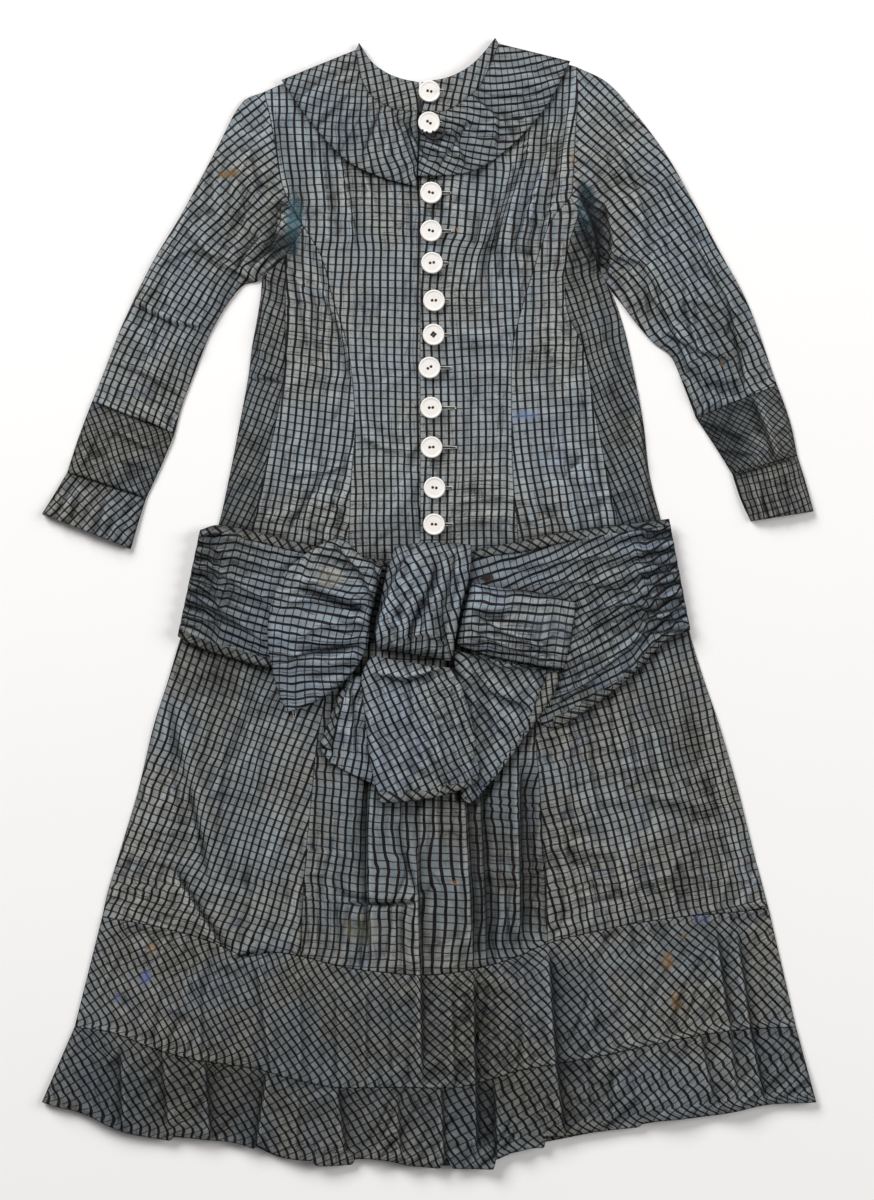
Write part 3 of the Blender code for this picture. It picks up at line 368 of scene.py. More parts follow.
# Fold lines sink the cloth on their shaded side, which is painted darker, with a painted highlight on the
# lip
foldLines = [  # path, how far its shaded side reaches to the right (or left) going down, and how deep it is
    ([(-49, -78), (-49, -126), (-50, -222), (-47, -294)], -6.4, 0.7),
    ([(-8, -180), (-8, -238), (-6, -299), (-5, -386)], 5.6, 0.9),
    ([(28, -110), (30, -164), (34, -238), (36, -294)], 16, 1),
    ([(41, -126), (44, -206), (47, -292)], 6.4, 0.8), ([(36, -294), (38, -388), (39, -446)], 11.2, 0.85),
    ([(54, -222), (54, -293)], -3.2, 0.35), ([(73, -126), (73, -176), (74, -275)], 12.8, 0.9),
    ([(93, -188), (94, -266)], -5.6, 0.45), ([(-23, -114), (-22, -182)], 4.8, 0.45),
    ([(6, -118), (9, -206)], 5.6, 0.4), ([(-89, -198), (-89, -290)], 4, 0.35),
    ([(-20, -230), (-22, -296)], -3.2, 0.4), ([(-23, -198), (-15, -216), (-9, -235)], 3.2, 0.5),
    ([(-70, -240), (-39, -241), (-8, -240)], -2.4, 0.6),
    ([(-205, -212), (-186, -242), (-168, -270), (-158, -285)], 4, 0.5),
    ([(-158, -285), (-138, -279)], -3.2, 0.45), ([(-103, -174), (-102, -286)], 2.4, 0.3),
    ([(-209, -78), (-206, -126), (-199, -182)], 4, 0.35),
    ([(-162, -106), (-166, -150), (-172, -198)], 4.8, 0.35), ([(-134, -110), (-137, -158)], 4.8, 0.3),
    ([(121, -78), (129, -126), (137, -182)], 4.8, 0.3), ([(177, -78), (194, -150)], 5.6, 0.3),
    ([(101, -242), (153, -232), (209, -216)], -2.4, 0.3), ([(223, -222), (234, -258)], 4, 0.35),
    ([(105, -150), (153, -134), (191, -132)], -2.4, 0.25), ([(-247, -358), (-246, -420)], -11.2, 0.55),
    ([(-215, -350), (-209, -422)], -8, 0.5), ([(-179, -362), (-174, -430)], 11.2, 0.65),
    ([(-130, -374), (-140, -440)], -12.8, 0.7), ([(-103, -386), (-106, -444)], 4, 0.3),
    ([(-73, -386), (-66, -443)], 10.4, 0.65), ([(-25, -394), (-22, -446)], 9.6, 0.5),
    ([(10, -384), (13, -448)], 4.8, 0.7), ([(52, -382), (54, -448)], -7.2, 0.8),
    ([(96, -274), (102, -366), (110, -434)], 14.4, 0.8), ([(127, -366), (129, -406)], 4, 0.3),
    ([(147, -362), (146, -410)], -4, 0.35), ([(185, -350), (186, -398)], 4, 0.25),
    ([(217, -342), (228, -398)], 6.4, 0.5), ([(247, -262), (258, -342), (270, -406)], 7.2, 0.7),
    ([(230, -262), (241, -334), (247, -398)], 6.4, 0.45), ([(-183, -298), (-181, -358)], 3.2, 0.3),
    ([(-139, -286), (-134, -326), (-126, -382)], -4, 0.4), ([(-103, -294), (-101, -382)], 3.2, 0.3),
    ([(-75, -306), (-74, -382)], -3.2, 0.3), ([(-50, -306), (-50, -378)], 3.2, 0.3),
    ([(-31, -310), (-30, -382)], -3.2, 0.35), ([(19, -310), (21, -382)], 3.2, 0.35),
    ([(129, -286), (134, -350)], 3.2, 0.25), ([(169, -278), (174, -342)], -3.2, 0.25),
    ([(230, -258), (239, -334)], 5.6, 0.4), ([(-90, 254), (-79, 234), (-68, 206), (-62, 174)], -3.2, 0.55),
    ([(-111, 272), (-103, 242), (-97, 202)], -4, 0.4), ([(-145, 180), (-116, 177)], -2.4, 0.5),
    ([(-56, 133), (-35, 122), (-10, 118)], -2.4, 0.4), ([(-114, 100), (-84, 103), (-65, 110)], -2.4, 0.4),
    ([(-109, 64), (-97, 82), (-84, 100)], 3.2, 0.4), ([(-78, 72), (-62, 128)], 2.4, 0.3),
    ([(52, 326), (54, 282), (57, 254)], 4, 0.4), ([(66, 318), (70, 270)], 3.2, 0.35),
    ([(89, 338), (79, 290), (73, 242)], 4, 0.35), ([(150, 242), (162, 214), (178, 188)], -3.2, 0.45),
    ([(137, 218), (154, 184), (169, 168)], 3.2, 0.35), ([(17, 78), (57, 83), (89, 77)], -2.4, 0.35),
    ([(105, 98), (124, 118)], 3.2, 0.4), ([(133, 82), (161, 88)], -2.4, 0.35),
    ([(-55, 354), (-46, 333), (-39, 298)], 4, 0.35), ([(-79, 338), (-73, 290)], 4, 0.3),
    ([(17, 202), (57, 206), (93, 200)], -2.4, 0.25), ([(-134, 242), (-137, 194)], -4, 0.45),
    ([(-129, 146), (-142, 66)], -4.8, 0.3), ([(169, 162), (177, 66)], 4.8, 0.35),
    ([(79, 388), (76, 353), (63, 318), (48, 268)], -4.8, 0.5),
    ([(95, 392), (94, 360), (79, 318), (63, 268)], -4.8, 0.5), ([(70, 356), (60, 318), (42, 276)], -4, 0.45),
    ([(110, 399), (109, 374), (98, 325), (88, 283)], -4, 0.45),
    ([(-86, 368), (-81, 325), (-78, 283)], 4, 0.4), ([(-70, 357), (-62, 318), (-58, 282)], 4, 0.45),
    ([(-125, 394), (-118, 350), (-108, 318)], 4, 0.45), ([(119, 330), (132, 300), (137, 264)], 8.8, 0.85),
    ([(140, 322), (146, 290), (142, 258)], -4, 0.6), ([(-116, 325), (-125, 283), (-146, 266)], -5.6, 0.75),
    ([(-134, 294), (-146, 280), (-154, 264)], -4.8, 0.6),
    ([(-239, 242), (-207, 224), (-179, 220)], -4, 0.45),
    ([(-257, 194), (-223, 181), (-199, 168)], -3.2, 0.4), ([(-199, 302), (-171, 272), (-134, 254)], -4, 0.4),
    ([(-223, 266), (-191, 282), (-151, 272)], -4, 0.3), ([(-175, 362), (-191, 314), (-223, 250)], 6.4, 0.25),
    ([(137, 278), (169, 272), (188, 242)], -4, 0.45), ([(169, 254), (191, 228), (209, 184)], -5.6, 0.45),
    ([(185, 218), (217, 200), (245, 194)], -4, 0.5), ([(198, 242), (226, 238), (247, 228)], -3.2, 0.35),
    ([(209, 294), (238, 244), (250, 192), (254, 164)], -4, 0.45), ([(177, 346), (209, 298)], 5.6, 0.25),
    ([(217, 174), (253, 178)], -3.2, 0.4), ([(153, 362), (169, 322), (177, 290)], 4.8, 0.25),
    ([(-143, 362), (-137, 330)], 4, 0.3), ([(-270, 161), (-239, 149), (-204, 136)], -2.4, 0.5),
    ([(-255, 138), (-223, 122)], -3.2, 0.4), ([(-290, 104), (-226, 84)], -2, 0.4),
    ([(-267, 130), (-279, 106)], 3.2, 0.4), ([(258, 164), (268, 141), (278, 113)], -4.8, 0.55),
    ([(217, 146), (253, 130)], -3.2, 0.4), ([(242, 101), (294, 116)], -2.4, 0.5),
    ([(229, 122), (265, 118)], -2.4, 0.4), ([(265, 98), (268, 70)], 3.2, 0.4),
    ([(285, 103), (289, 72)], -3.2, 0.4), ([(-283, 90), (-287, 66)], 3.2, 0.35),
    ([(-259, 86), (-265, 54)], -3.2, 0.35),
]
laidLines = [  # the same for the bow, the sash and the collar
    ([(-78, 49), (-56, 25), (-42, -1)], -5.6, 0.6), ([(-118, -1), (-91, 1), (-69, -4), (-47, 0)], -4, 0.55),
    ([(-115, -46), (-91, -39), (-71, -36), (-51, -33)], -4.8, 0.8),
    ([(-103, 18), (-79, 14), (-49, 2)], -3.2, 0.4), ([(-46, 34), (-38, 10), (-41, -8)], -4, 0.6),
    ([(-106, -30), (-87, -20), (-54, -16)], -3.2, 0.45),
    ([(-17, 40), (-30, 16), (-41, -12), (-45, -32)], -5.6, 0.65),
    ([(23, 47), (17, 16), (10, -12), (17, -45)], -4.8, 0.55), ([(6, 29), (-3, 3), (-6, -24)], 4, 0.5),
    ([(-34, 5), (-12, 9), (6, -6)], -3.2, 0.4), ([(-23, -30), (-3, -25), (15, -34)], -3.2, 0.45),
    ([(36, 10), (76, 9), (114, 1)], -3.2, 0.45), ([(34, -6), (58, -24), (98, -39)], -5.6, 0.6),
    ([(31, -20), (57, -34), (89, -46)], -4.8, 0.5), ([(23, -36), (58, -52), (100, -52)], -4.8, 0.75),
    ([(80, -24), (98, -46)], 3.2, 0.35), ([(32, -50), (50, -72), (81, -85)], -4, 0.6),
    ([(26, -70), (46, -88), (61, -108)], -4, 0.4), ([(57, -56), (73, -78), (74, -102)], 4.8, 0.4),
    ([(-182, 34), (-158, 16), (-126, -1)], -4, 0.5), ([(-188, -1), (-158, -12), (-129, -35)], -4, 0.5),
    ([(-158, 38), (-126, 25), (-103, 34)], -3.2, 0.4), ([(-191, 22), (-163, 2), (-134, -14)], -3.2, 0.4),
    ([(-194, 10), (-171, -8), (-143, -25)], -3.2, 0.45), ([(58, 23), (102, 32), (155, 38)], -4, 0.5),
    ([(85, 16), (124, 16), (173, 5)], -4, 0.5), ([(120, -10), (155, -1), (179, -6)], -4.8, 0.5),
    ([(91, -89), (129, -63), (173, -24)], -4, 0.65), ([(105, -70), (137, -46), (169, -18)], 4, 0.4),
    ([(105, -30), (137, -16), (175, 2)], -4, 0.5), ([(89, 44), (129, 50), (169, 54)], -3.2, 0.4),
    ([(-82, -103), (-76, -124)], 3.2, 0.45), ([(-71, -63), (-78, -103)], -3.2, 0.5),
    ([(-62, -70), (-58, -126)], 4.8, 0.5), ([(-46, -56), (-23, -62), (15, -52)], -4, 0.5),
    ([(-23, -70), (-26, -126)], 4, 0.25), ([(1, -70), (12, -126)], 4, 0.25),
    ([(-37, 399), (-54, 356)], -4, 0.5), ([(-29, 395), (-10, 344)], 4, 0.5),
    ([(33, 407), (55, 388), (53, 360)], 4, 0.5), ([(-63, 408), (-98, 370)], -3.2, 0.4),
    ([(-51, 394), (-74, 354)], -3.2, 0.4), ([(18, 382), (30, 346)], 4, 0.5),
    ([(73, 405), (93, 364)], 3.2, 0.4), ([(101, 416), (129, 386)], 3.2, 0.4),
    ([(-87, 418), (-116, 392)], -3.2, 0.4), ([(57, 396), (73, 356)], 3.2, 0.35),
    ([(-22, 386), (1, 350)], 4, 0.6), ([(33, 386), (17, 362), (6, 346)], -4, 0.5),
    ([(164, 60), (185, 56), (207, 62)], -2.4, 0.85), ([(170, 50), (185, 51), (207, 50)], 2.4, 0.85),
    ([(168, 41), (185, 40), (207, 43)], -2.4, 0.85), ([(166, 32), (185, 30), (207, 31)], 2.4, 0.85),
    ([(165, 23), (185, 24), (207, 24)], -2.4, 0.85), ([(170, 14), (185, 14), (207, 16)], 2.4, 0.85),
    ([(169, 4), (185, 3), (207, 4)], -2.4, 0.85), ([(167, -5), (185, -8), (207, -3)], 2.4, 0.85),
    ([(166, -14), (185, -13), (207, -15)], -2.4, 0.85), ([(164, -23), (185, -24), (207, -22)], 2.4, 0.85),
    ([(-199, 50), (-186, 47), (-170, 43)], -2.4, 0.65), ([(-195, 40), (-186, 37), (-165, 33)], 2.4, 0.65),
    ([(-196, 30), (-186, 27), (-169, 23)], -2.4, 0.65), ([(-197, 20), (-186, 17), (-163, 13)], 2.4, 0.65),
    ([(-198, 10), (-186, 7), (-167, 3)], -2.4, 0.65), ([(-198, 0), (-186, -3), (-162, -7)], 2.4, 0.65),
    ([(-199, -10), (-186, -13), (-166, -17)], -2.4, 0.65),
]


# Where the cloth folds round to the hidden side
def foldedEdges():
    found = []
    for yoke, sleeve, cuff, bodice, skirtEdge, end in (
        (yokeLeft, sleeveLeft, cuffLeft, bodiceLeft, "edgeLeft", 0),
        (yokeRight, sleeveRight, cuffRight, bodiceRight, "edgeRight", -1),
    ):
        found.append(yoke["neck"][:1] + yoke["arm"][:1] + sleeve["out"] + cuff["out"][1:])
        inner = cuff["in"][::-1] + sleeve["in"][::-1] + bodice["edge"] + skirtLines[skirtEdge][1:]
        found.append(inner + [hemLines["low"][end], hemLines["hem"][end]])
    return found


def toStretch(x, y, start, end):  # distance to a straight stretch, how far along it, and the side
    run = np.subtract(end, start).astype(float)
    length = max(np.hypot(*run), 1e-6)
    t = np.clip(((x - start[0]) * run[0] + (y - start[1]) * run[1]) / length**2, 0, 1)
    side = ((x - start[0]) * run[1] - (y - start[1]) * run[0]) / length
    return np.hypot(x - start[0] - t * run[0], y - start[1] - t * run[1]), t, side


def toPath(x, y, path):  # the same for a path of several stretches
    best = np.full(np.shape(x), 1e9)
    along, side = np.zeros(np.shape(x)), np.zeros(np.shape(x))
    whole, before = lengthOf(path), 0.0
    for start, end in zip(path, path[1:]):
        length = lengthOf([start, end])
        away, t, across = toStretch(x, y, start, end)
        closer = away < best
        best = np.where(closer, away, best)
        along = np.where(closer, (before + t * length) / whole, along)
        side = np.where(closer, across, side)
        before += length
    return best, along, side


# Height maps over the table, worked out once and read by every piece
class HeightMap:
    low, step = np.array([-345.0, -480.0]), 1.5
    counts = (461, 641)

    def __init__(self, values):
        self.values = values

    def at(self, x, y):
        i = np.clip((x - self.low[0]) / self.step, 0, self.counts[0] - 1.001)
        j = np.clip((y - self.low[1]) / self.step, 0, self.counts[1] - 1.001)
        a, b = i.astype(int), j.astype(int)
        p, q = i - a, j - b
        v = self.values
        near = v[a, b] * (1 - p) + v[a + 1, b] * p
        return near * (1 - q) + (v[a, b + 1] * (1 - p) + v[a + 1, b + 1] * p) * q


mapX, mapY = np.meshgrid(
    HeightMap.low[0] + HeightMap.step * np.arange(HeightMap.counts[0]),
    HeightMap.low[1] + HeightMap.step * np.arange(HeightMap.counts[1]),
    indexing="ij",
)


def hiddenLift(x, y):  # the body over the collar of the hidden side
    (midX, midY), (wide, tall) = hiddenCollar["middle"], hiddenCollar["size"]
    away = np.hypot((x - midX) / wide, (y - midY) / tall)
    return hiddenCollar["lift"] * (1 - smoothStep(hiddenCollar["flat"], hiddenCollar["end"], away))


def ridges(folds, x, y):  # soft ridges that rise and die out along their length
    total = np.zeros(np.shape(x))
    for fromX, fromY, toX, toY, width, height in folds:
        away, t, _ = toStretch(x, y, (fromX, fromY), (toX, toY))
        taper = smoothStep(0, 0.25, t) * smoothStep(1, 0.75, t)
        total += height * taper * np.exp(-((away / width) ** 2))
    return total


def pleatRise(x, y):  # knife pleats rise towards the fold from the right and drop at it
    total = np.zeros(np.shape(x))
    for fromX, fromY, toX, toY, width, height in skirtPleats:
        t = (y - fromY) / (toY - fromY)
        side = x - fromX - t * (toX - fromX)
        rise = np.where(side > 0, np.exp(-np.abs(side) / width), np.exp(-((side / 2.2) ** 2)))
        total += height * smoothStep(0.2, 0.7, t) * smoothStep(1.9, 1.3, t) * rise
    return total


def lapRise(x):
    return layers["lap"] * (1 - smoothStep(layers["lapFlat"], layers["lapEnd"], x)) * (x > layers["lapEdge"])


foldShape = {  # of the listed folds; heights and pulls are for a fold of depth 1
    "ends": (0.02, 0.16),  # how far past its ends a fold starts, and how far in it is whole, as shares
    "beyond": 3.0,  # how soon it dies out past its ends
    "sharp": 0.8,  # width of the shade's hard edge
    "bright": (2.2, 1.8),  # how far from that edge the lit lip lies, and its width
    "height": 2.6,
    "lip": (6.0, 0.6),  # how far back the lip reaches, and how sharply it ends
    "sink": 0.7,  # how far the shaded side sinks, as a share of the lip
    "pull": (1.0, 3.0, 26.0),
    "jump": (2.8, 0.7, 45.0),  # how far the check jumps at it, how sharply, and how far out
    "jumpFrom": 0.45,  # from this depth
    "jumpDown": 0.6,  # the share of the jump that goes along the yarns
}
creaseShape = {  # of the listed creases
    "ends": (0.02, 0.3),
    "beyond": 60.0,
    "height": 2.1,
    "uneven": (0.8, 0.3, 33, 8),  # least height, what varies, how wide and its seed
    "pull": (0.5, 4.0, 22.0),  # the share of the cloth taken up, and how far out in widths and in mm
}
swell = {  # the slow unevenness of the cloth: how strong, how wide and its seed
    "height": ((0.8, 50, 1), (0.5, 22, 2)),
    "across": ((1.2, 75, 4), (0.25, 24, 6)),
    "down": ((1.2, 75, 5), (0.25, 24, 7)),
    "inside": (2, 25),  # it starts and is whole this far in from a folded edge
}


def swelling(x, y, name):
    return sum(strong * drift(x, y, wide, seed) for strong, wide, seed in swell[name])


def taperAt(t, ends):  # 1 along the middle of a path, dying out at both ends
    past, whole = ends
    return smoothStep(-past, whole, t) * smoothStep(1 + past, 1 - whole, t)


def foldSide(x, y, path, reach):  # a fold line's shade, its lit lip, its side and how it tapers
    shape = foldShape
    away, t, side = toPath(x, y, path)
    side = -side * np.sign(reach)
    ends = taperAt(t, shape["ends"])
    ends = ends * np.exp(-((np.maximum(away - np.abs(side), 0) / shape["beyond"]) ** 2))
    shade = np.where(side >= 0, np.exp(-np.abs(side) / abs(reach)), np.exp(-((side / shape["sharp"]) ** 2)))
    back, wide = shape["bright"]
    return shade * ends, np.exp(-(((side + back) / wide) ** 2)) * ends, side, ends


def pulledBy(path, pull):  # what a pull across a path adds to the shifts of the check
    run = np.subtract(path[-1], path[0])
    run = run / np.hypot(*run)
    return pull * run[1], pull * run[0]


def makeMaps():
    x, y = mapX, mapY
    nearest = np.full(x.shape, 1e9)
    for line in foldedEdges():
        for start, end in zip(line, line[1:]):
            nearest = np.minimum(nearest, toStretch(x, y, start, end)[0])
    puff = layers["puff"] * (1 - np.exp(-nearest / layers["roll"]))
    height = hiddenLift(x, y) + cloth["wall"] + cloth["gap"] + puff
    height += ridges(bodyFolds, x, y) + pleatRise(x, y)
    deep, wide = layers["roundDown"]
    height -= deep * np.exp(-((nearest / wide) ** 2))
    height += smoothStep(*swell["inside"], nearest) * swelling(x, y, "height")
    shiftX, shiftY = swelling(x, y, "across"), swelling(x, y, "down")
    shape = creaseShape
    least, varied, wide, seed = shape["uneven"]
    share, widths, fade = shape["pull"]
    for path, width, rise, taken in bodiceCreases + sleeveCreases + skirtCreases:
        away, t, side = toPath(x, y, path)
        taper = taperAt(t, shape["ends"])
        taper = taper * np.exp(-np.maximum(away - np.abs(side), 0) ** 2 / shape["beyond"])
        ridge = shape["height"] * rise * taper * np.exp(-((away / width) ** 2))
        height += ridge * (least + varied * drift(x, y, wide, seed))
        pull = taken * taper * share * np.tanh(side / width)
        moved = pulledBy(path, pull * np.exp(-np.abs(side) / (widths * width + fade)))
        shiftX += moved[0]
        shiftY -= moved[1]
    shape = foldShape
    back, sharp = shape["lip"]
    strong, soft, fade = shape["pull"]
    for path, reach, deep in foldLines:
        shade, _, side, ends = foldSide(x, y, path, reach)
        lip = np.where(side < 0, np.exp(side / back), 0) * smoothStep(sharp, -sharp, side)
        height += shape["height"] * deep * ends * (lip - shape["sink"] * shade)
        pull = strong * deep * ends * np.tanh(side / soft) * np.exp(-np.abs(side) / fade) * -np.sign(reach)
        moved = pulledBy(path, pull)
        shiftX += moved[0]
        shiftY -= moved[1]
    return [HeightMap(values) for values in (height, shiftX, shiftY, nearest)]


frontMap, shiftMapX, shiftMapY, edgeMap = makeMaps()
frontBottom = frontMap.at


def over(x, y):  # just clear of the upper layer, also a little to each side
    near = layers["near"]
    around = [(0, 0)] + [(near * np.cos(a), near * np.sin(a)) for a in np.arange(8) * np.pi / 4]
    found = [frontBottom(x + dx, y + dy) + lapRise(x + dx) for dx, dy in around]
    return np.max(found, axis=0) + cloth["wall"] + cloth["gap"]


print("height maps made")


# Shader maths: a value can be used in plain expressions, and each adds its Math node
class Value:
    def __init__(self, finish, socket):
        self.finish, self.socket = finish, socket

    def maths(self, operation, *others, first=None):
        given = [self, *others] if first is None else [first, self]
        return self.finish.node("ShaderNodeMath", {"operation": operation}, dict(enumerate(given)))

    def other(self, name):  # another output of the same node
        return Value(self.finish, self.socket.node.outputs[name])

    def __add__(self, value):
        return self.maths("ADD", value)

    def __mul__(self, value):
        return self.maths("MULTIPLY", value)

    def __sub__(self, value):
        return self.maths("SUBTRACT", value)

    def __truediv__(self, value):
        return self.maths("DIVIDE", value)

    def __rsub__(self, value):
        return self.maths("SUBTRACT", first=value)

    __radd__, __rmul__ = __add__, __mul__


class Finish:  # a material and what its shader is fed
    def __init__(self, name, color, roughness):
        self.material = bpy.data.materials.new(name)
        self.material.use_nodes = True
        self.tree = self.material.node_tree
        self.shader = self.tree.nodes["Principled BSDF"]
        self.material.diffuse_color = (*color, 1)
        self.feed(self.shader.inputs["Base Color"], (*color, 1))
        self.feed(self.shader.inputs["Roughness"], roughness)

    def feed(self, socket, value):
        if isinstance(value, Value):
            self.tree.links.new(value.socket, socket)
        else:
            socket.default_value = value

    def node(self, kind, settings=None, inputs=None, output=0):
        made = self.tree.nodes.new(kind)
        for name, value in (settings or {}).items():
            setattr(made, name, value)
        for name, value in (inputs or {}).items():
            self.feed(made.inputs[name], value)
        return Value(self, made.outputs[output])

    def mix(self, share, a, b, blend="MIX"):  # colours
        a, b = ((*c, 1) if isinstance(c, tuple) else c for c in (a, b))
        settings = {"data_type": "RGBA", "blend_type": blend}
        return self.node("ShaderNodeMix", settings, {0: share, 6: a, 7: b}, output=2)

    def darker(self, color, shade):  # a colour times the same number in red, green and blue
        grey = self.node("ShaderNodeCombineXYZ", None, {0: shade, 1: shade, 2: shade})
        return self.mix(1.0, color, grey, "MULTIPLY")

    def vector(self, operation, a, b):
        return self.node("ShaderNodeVectorMath", {"operation": operation}, {0: a, 1: b})

    def between(self, low, high, value):  # 0 below low, 1 above high, smooth between
        settings = {"interpolation_type": "SMOOTHSTEP"}
        inputs = {"Value": value, "From Min": low, "From Max": high}
        return self.node("ShaderNodeMapRange", settings, inputs)

    def noise(self, place, size, detail=2.0, rough=0.5):  # size in the units of the place
        inputs = {"Vector": place, "Scale": 1 / size, "Detail": detail, "Roughness": rough}
        return self.node("ShaderNodeTexNoise", None, inputs)

    def streaks(self, place, wide, tall, detail=1.0):  # noise with its own size each way
        return self.noise(self.vector("MULTIPLY", place, (1 / wide, 1 / tall, 0)), 1.0, detail)

    def stored(self, name):  # a number kept at the mesh's corners
        return self.node("ShaderNodeAttribute", {"attribute_name": name}, output="Fac")

    def bump(self, height, strength, deep):  # deep in metres
        made = self.node("ShaderNodeBump", None, {"Height": height, "Strength": strength, "Distance": deep})
        self.feed(self.shader.inputs["Normal"], made)


# The check: dark yarns along and across a blue-grey ground
check = {
    "pitch": 5.9,
    "alongHalf": 0.155,  # half of a dark stripe that runs along, as a share of the pitch
    "acrossHalf": 0.088,
    "edge": 0.028,
    "alongDark": 1.0,
    "acrossDark": 0.78,
    "yarn": 0.42,  # width of a yarn
    "stripe": (0.004, 0.004, 0.006),
    "stripeWorn": (0.016, 0.009, 0.007),
}
# Ground colours of the cottons: where it is fresh and where it has faded
cottons = {
    "bodice": {
        "ground": (0.222, 0.258, 0.279), "faded": (0.255, 0.265, 0.253), "blue": (0.170, 0.222, 0.287),
        "creased": 0.66,  # depth of the finest creases in mm
    },
    "skirt": {
        "ground": (0.204, 0.232, 0.244), "faded": (0.237, 0.240, 0.221), "blue": (0.163, 0.204, 0.257),
        "creased": 0.54,
    },
    "sash": {
        "ground": (0.214, 0.258, 0.298), "faded": (0.244, 0.265, 0.268), "blue": (0.159, 0.210, 0.295),
        "creased": 0.94,
    },
    "trim": {
        "ground": (0.185, 0.209, 0.221), "faded": (0.233, 0.233, 0.209), "blue": (0.148, 0.184, 0.233),
        "creased": 0.81,
    },
}
wearAndPaintedShade = {  # how the cotton has faded, creased and worn, and how its creases and hollows are painted darker
    "slub": (0.8, 9),  # width and length of the thick places in the yarns
    "patches": (0.085, 0.022),  # size of the slow and of the small patches, in metres
    "fadedFrom": (0.36, 0.62),
    "blueFrom": (0.5, 0.72),
    "blueShare": 0.55,
    "yarnShade": (0.62, 0.36, 0.24, 0.16),  # least, along, across and flecks
    "acrossInk": (0.6, 0.9),  # how dark a stripe is, least and with its yarns
    "alongInk": (0.8, 0.5),
    "fullest": (0.92, 0.985),  # the darkest that the stripes across and along get
    "wornFrom": (0.35, 0.75),
    "lengthways": (8, 62),  # width and length of the fine creases
    "crossways": (48, 9),
    "crumples": (44, 30, 40),  # to a metre, each way
    "thin": 28.0,  # how thin the crease lines are
    "creaseMix": (1.5, 1.3, 1.6),
    "seamFrom": (0.25, 0.85),  # distance from a border, in mm
    "puckerTo": 8.0,
    "hollow": (-1.6, 0.7),  # limits of what lies under or over its neighbours
    "dim": (1.02, 0.05, 2.2, 0.28, 0.6, 0.36),  # plain, painted shade of creases and their mean, of crease lines, the seams' dark line, painted light and shade of hollows
    "darkest": 0.15,
}
# Stains and painted shadows: place, radius, colour and strength
stainsAndPaintedShadows = [
    ((-108, 303), (8, 28), (0.030, 0.085, 0.110), 0.75),
    # painted shadow under the left arm
    ((-120, 284), (14, 15), (0.014, 0.020, 0.024), 0.7),
    ((126, 314), (9, 30), (0.020, 0.050, 0.070), 0.75),
    # painted shadow under the right arm
    ((134, 290), (10, 26), (0.014, 0.020, 0.024), 0.75),
    ((-160, 343), (10, 4.5), (0.170, 0.095, 0.030), 0.75),
    ((21, -224), (3.2, 2.0), (0.300, 0.150, 0.060), 0.55),
    ((191, -287), (5, 9), (0.300, 0.170, 0.060), 0.5),
    ((198, -319), (4, 9), (0.280, 0.150, 0.050), 0.5),
    ((203, -268), (2, 4), (0.330, 0.150, 0.040), 0.5),
    ((-54, -262), (18, 14), (0.200, 0.180, 0.090), 0.25),
    ((-227, -300), (5, 6), (0.110, 0.150, 0.400), 0.5),
    ((-222, -277), (4, 5), (0.300, 0.160, 0.060), 0.4),
    ((-249, -316), (3, 4), (0.110, 0.150, 0.360), 0.4),
    ((219, -253), (9, 5), (0.100, 0.130, 0.330), 0.3),
    ((78, 150), (11, 5), (0.110, 0.180, 0.360), 0.4),
    ((23, 298), (1.8, 2.4), (0.300, 0.150, 0.050), 0.7),
    ((114, 355), (1.1, 6.0), (0.420, 0.190, 0.060), 0.8),
    ((234, 192), (1.3, 3.4), (0.420, 0.190, 0.060), 0.8),
    # painted shadow in the hole beside the knot
    ((46, 20), (6.0, 4.4), (0.020, 0.012, 0.008), 0.97),
    ((-80, 20), (14, 10), (0.330, 0.280, 0.160), 0.2),
    ((98, -22), (30, 12), (0.060, 0.075, 0.110), 0.3),
]


def stripes(finish, place, half):  # how dark a stripe is at this place across the stripes
    away = ((place / check["pitch"]).maths("FRACT") - 0.5).maths("ABSOLUTE")
    return 1 - finish.between(half - check["edge"], half + check["edge"], away)


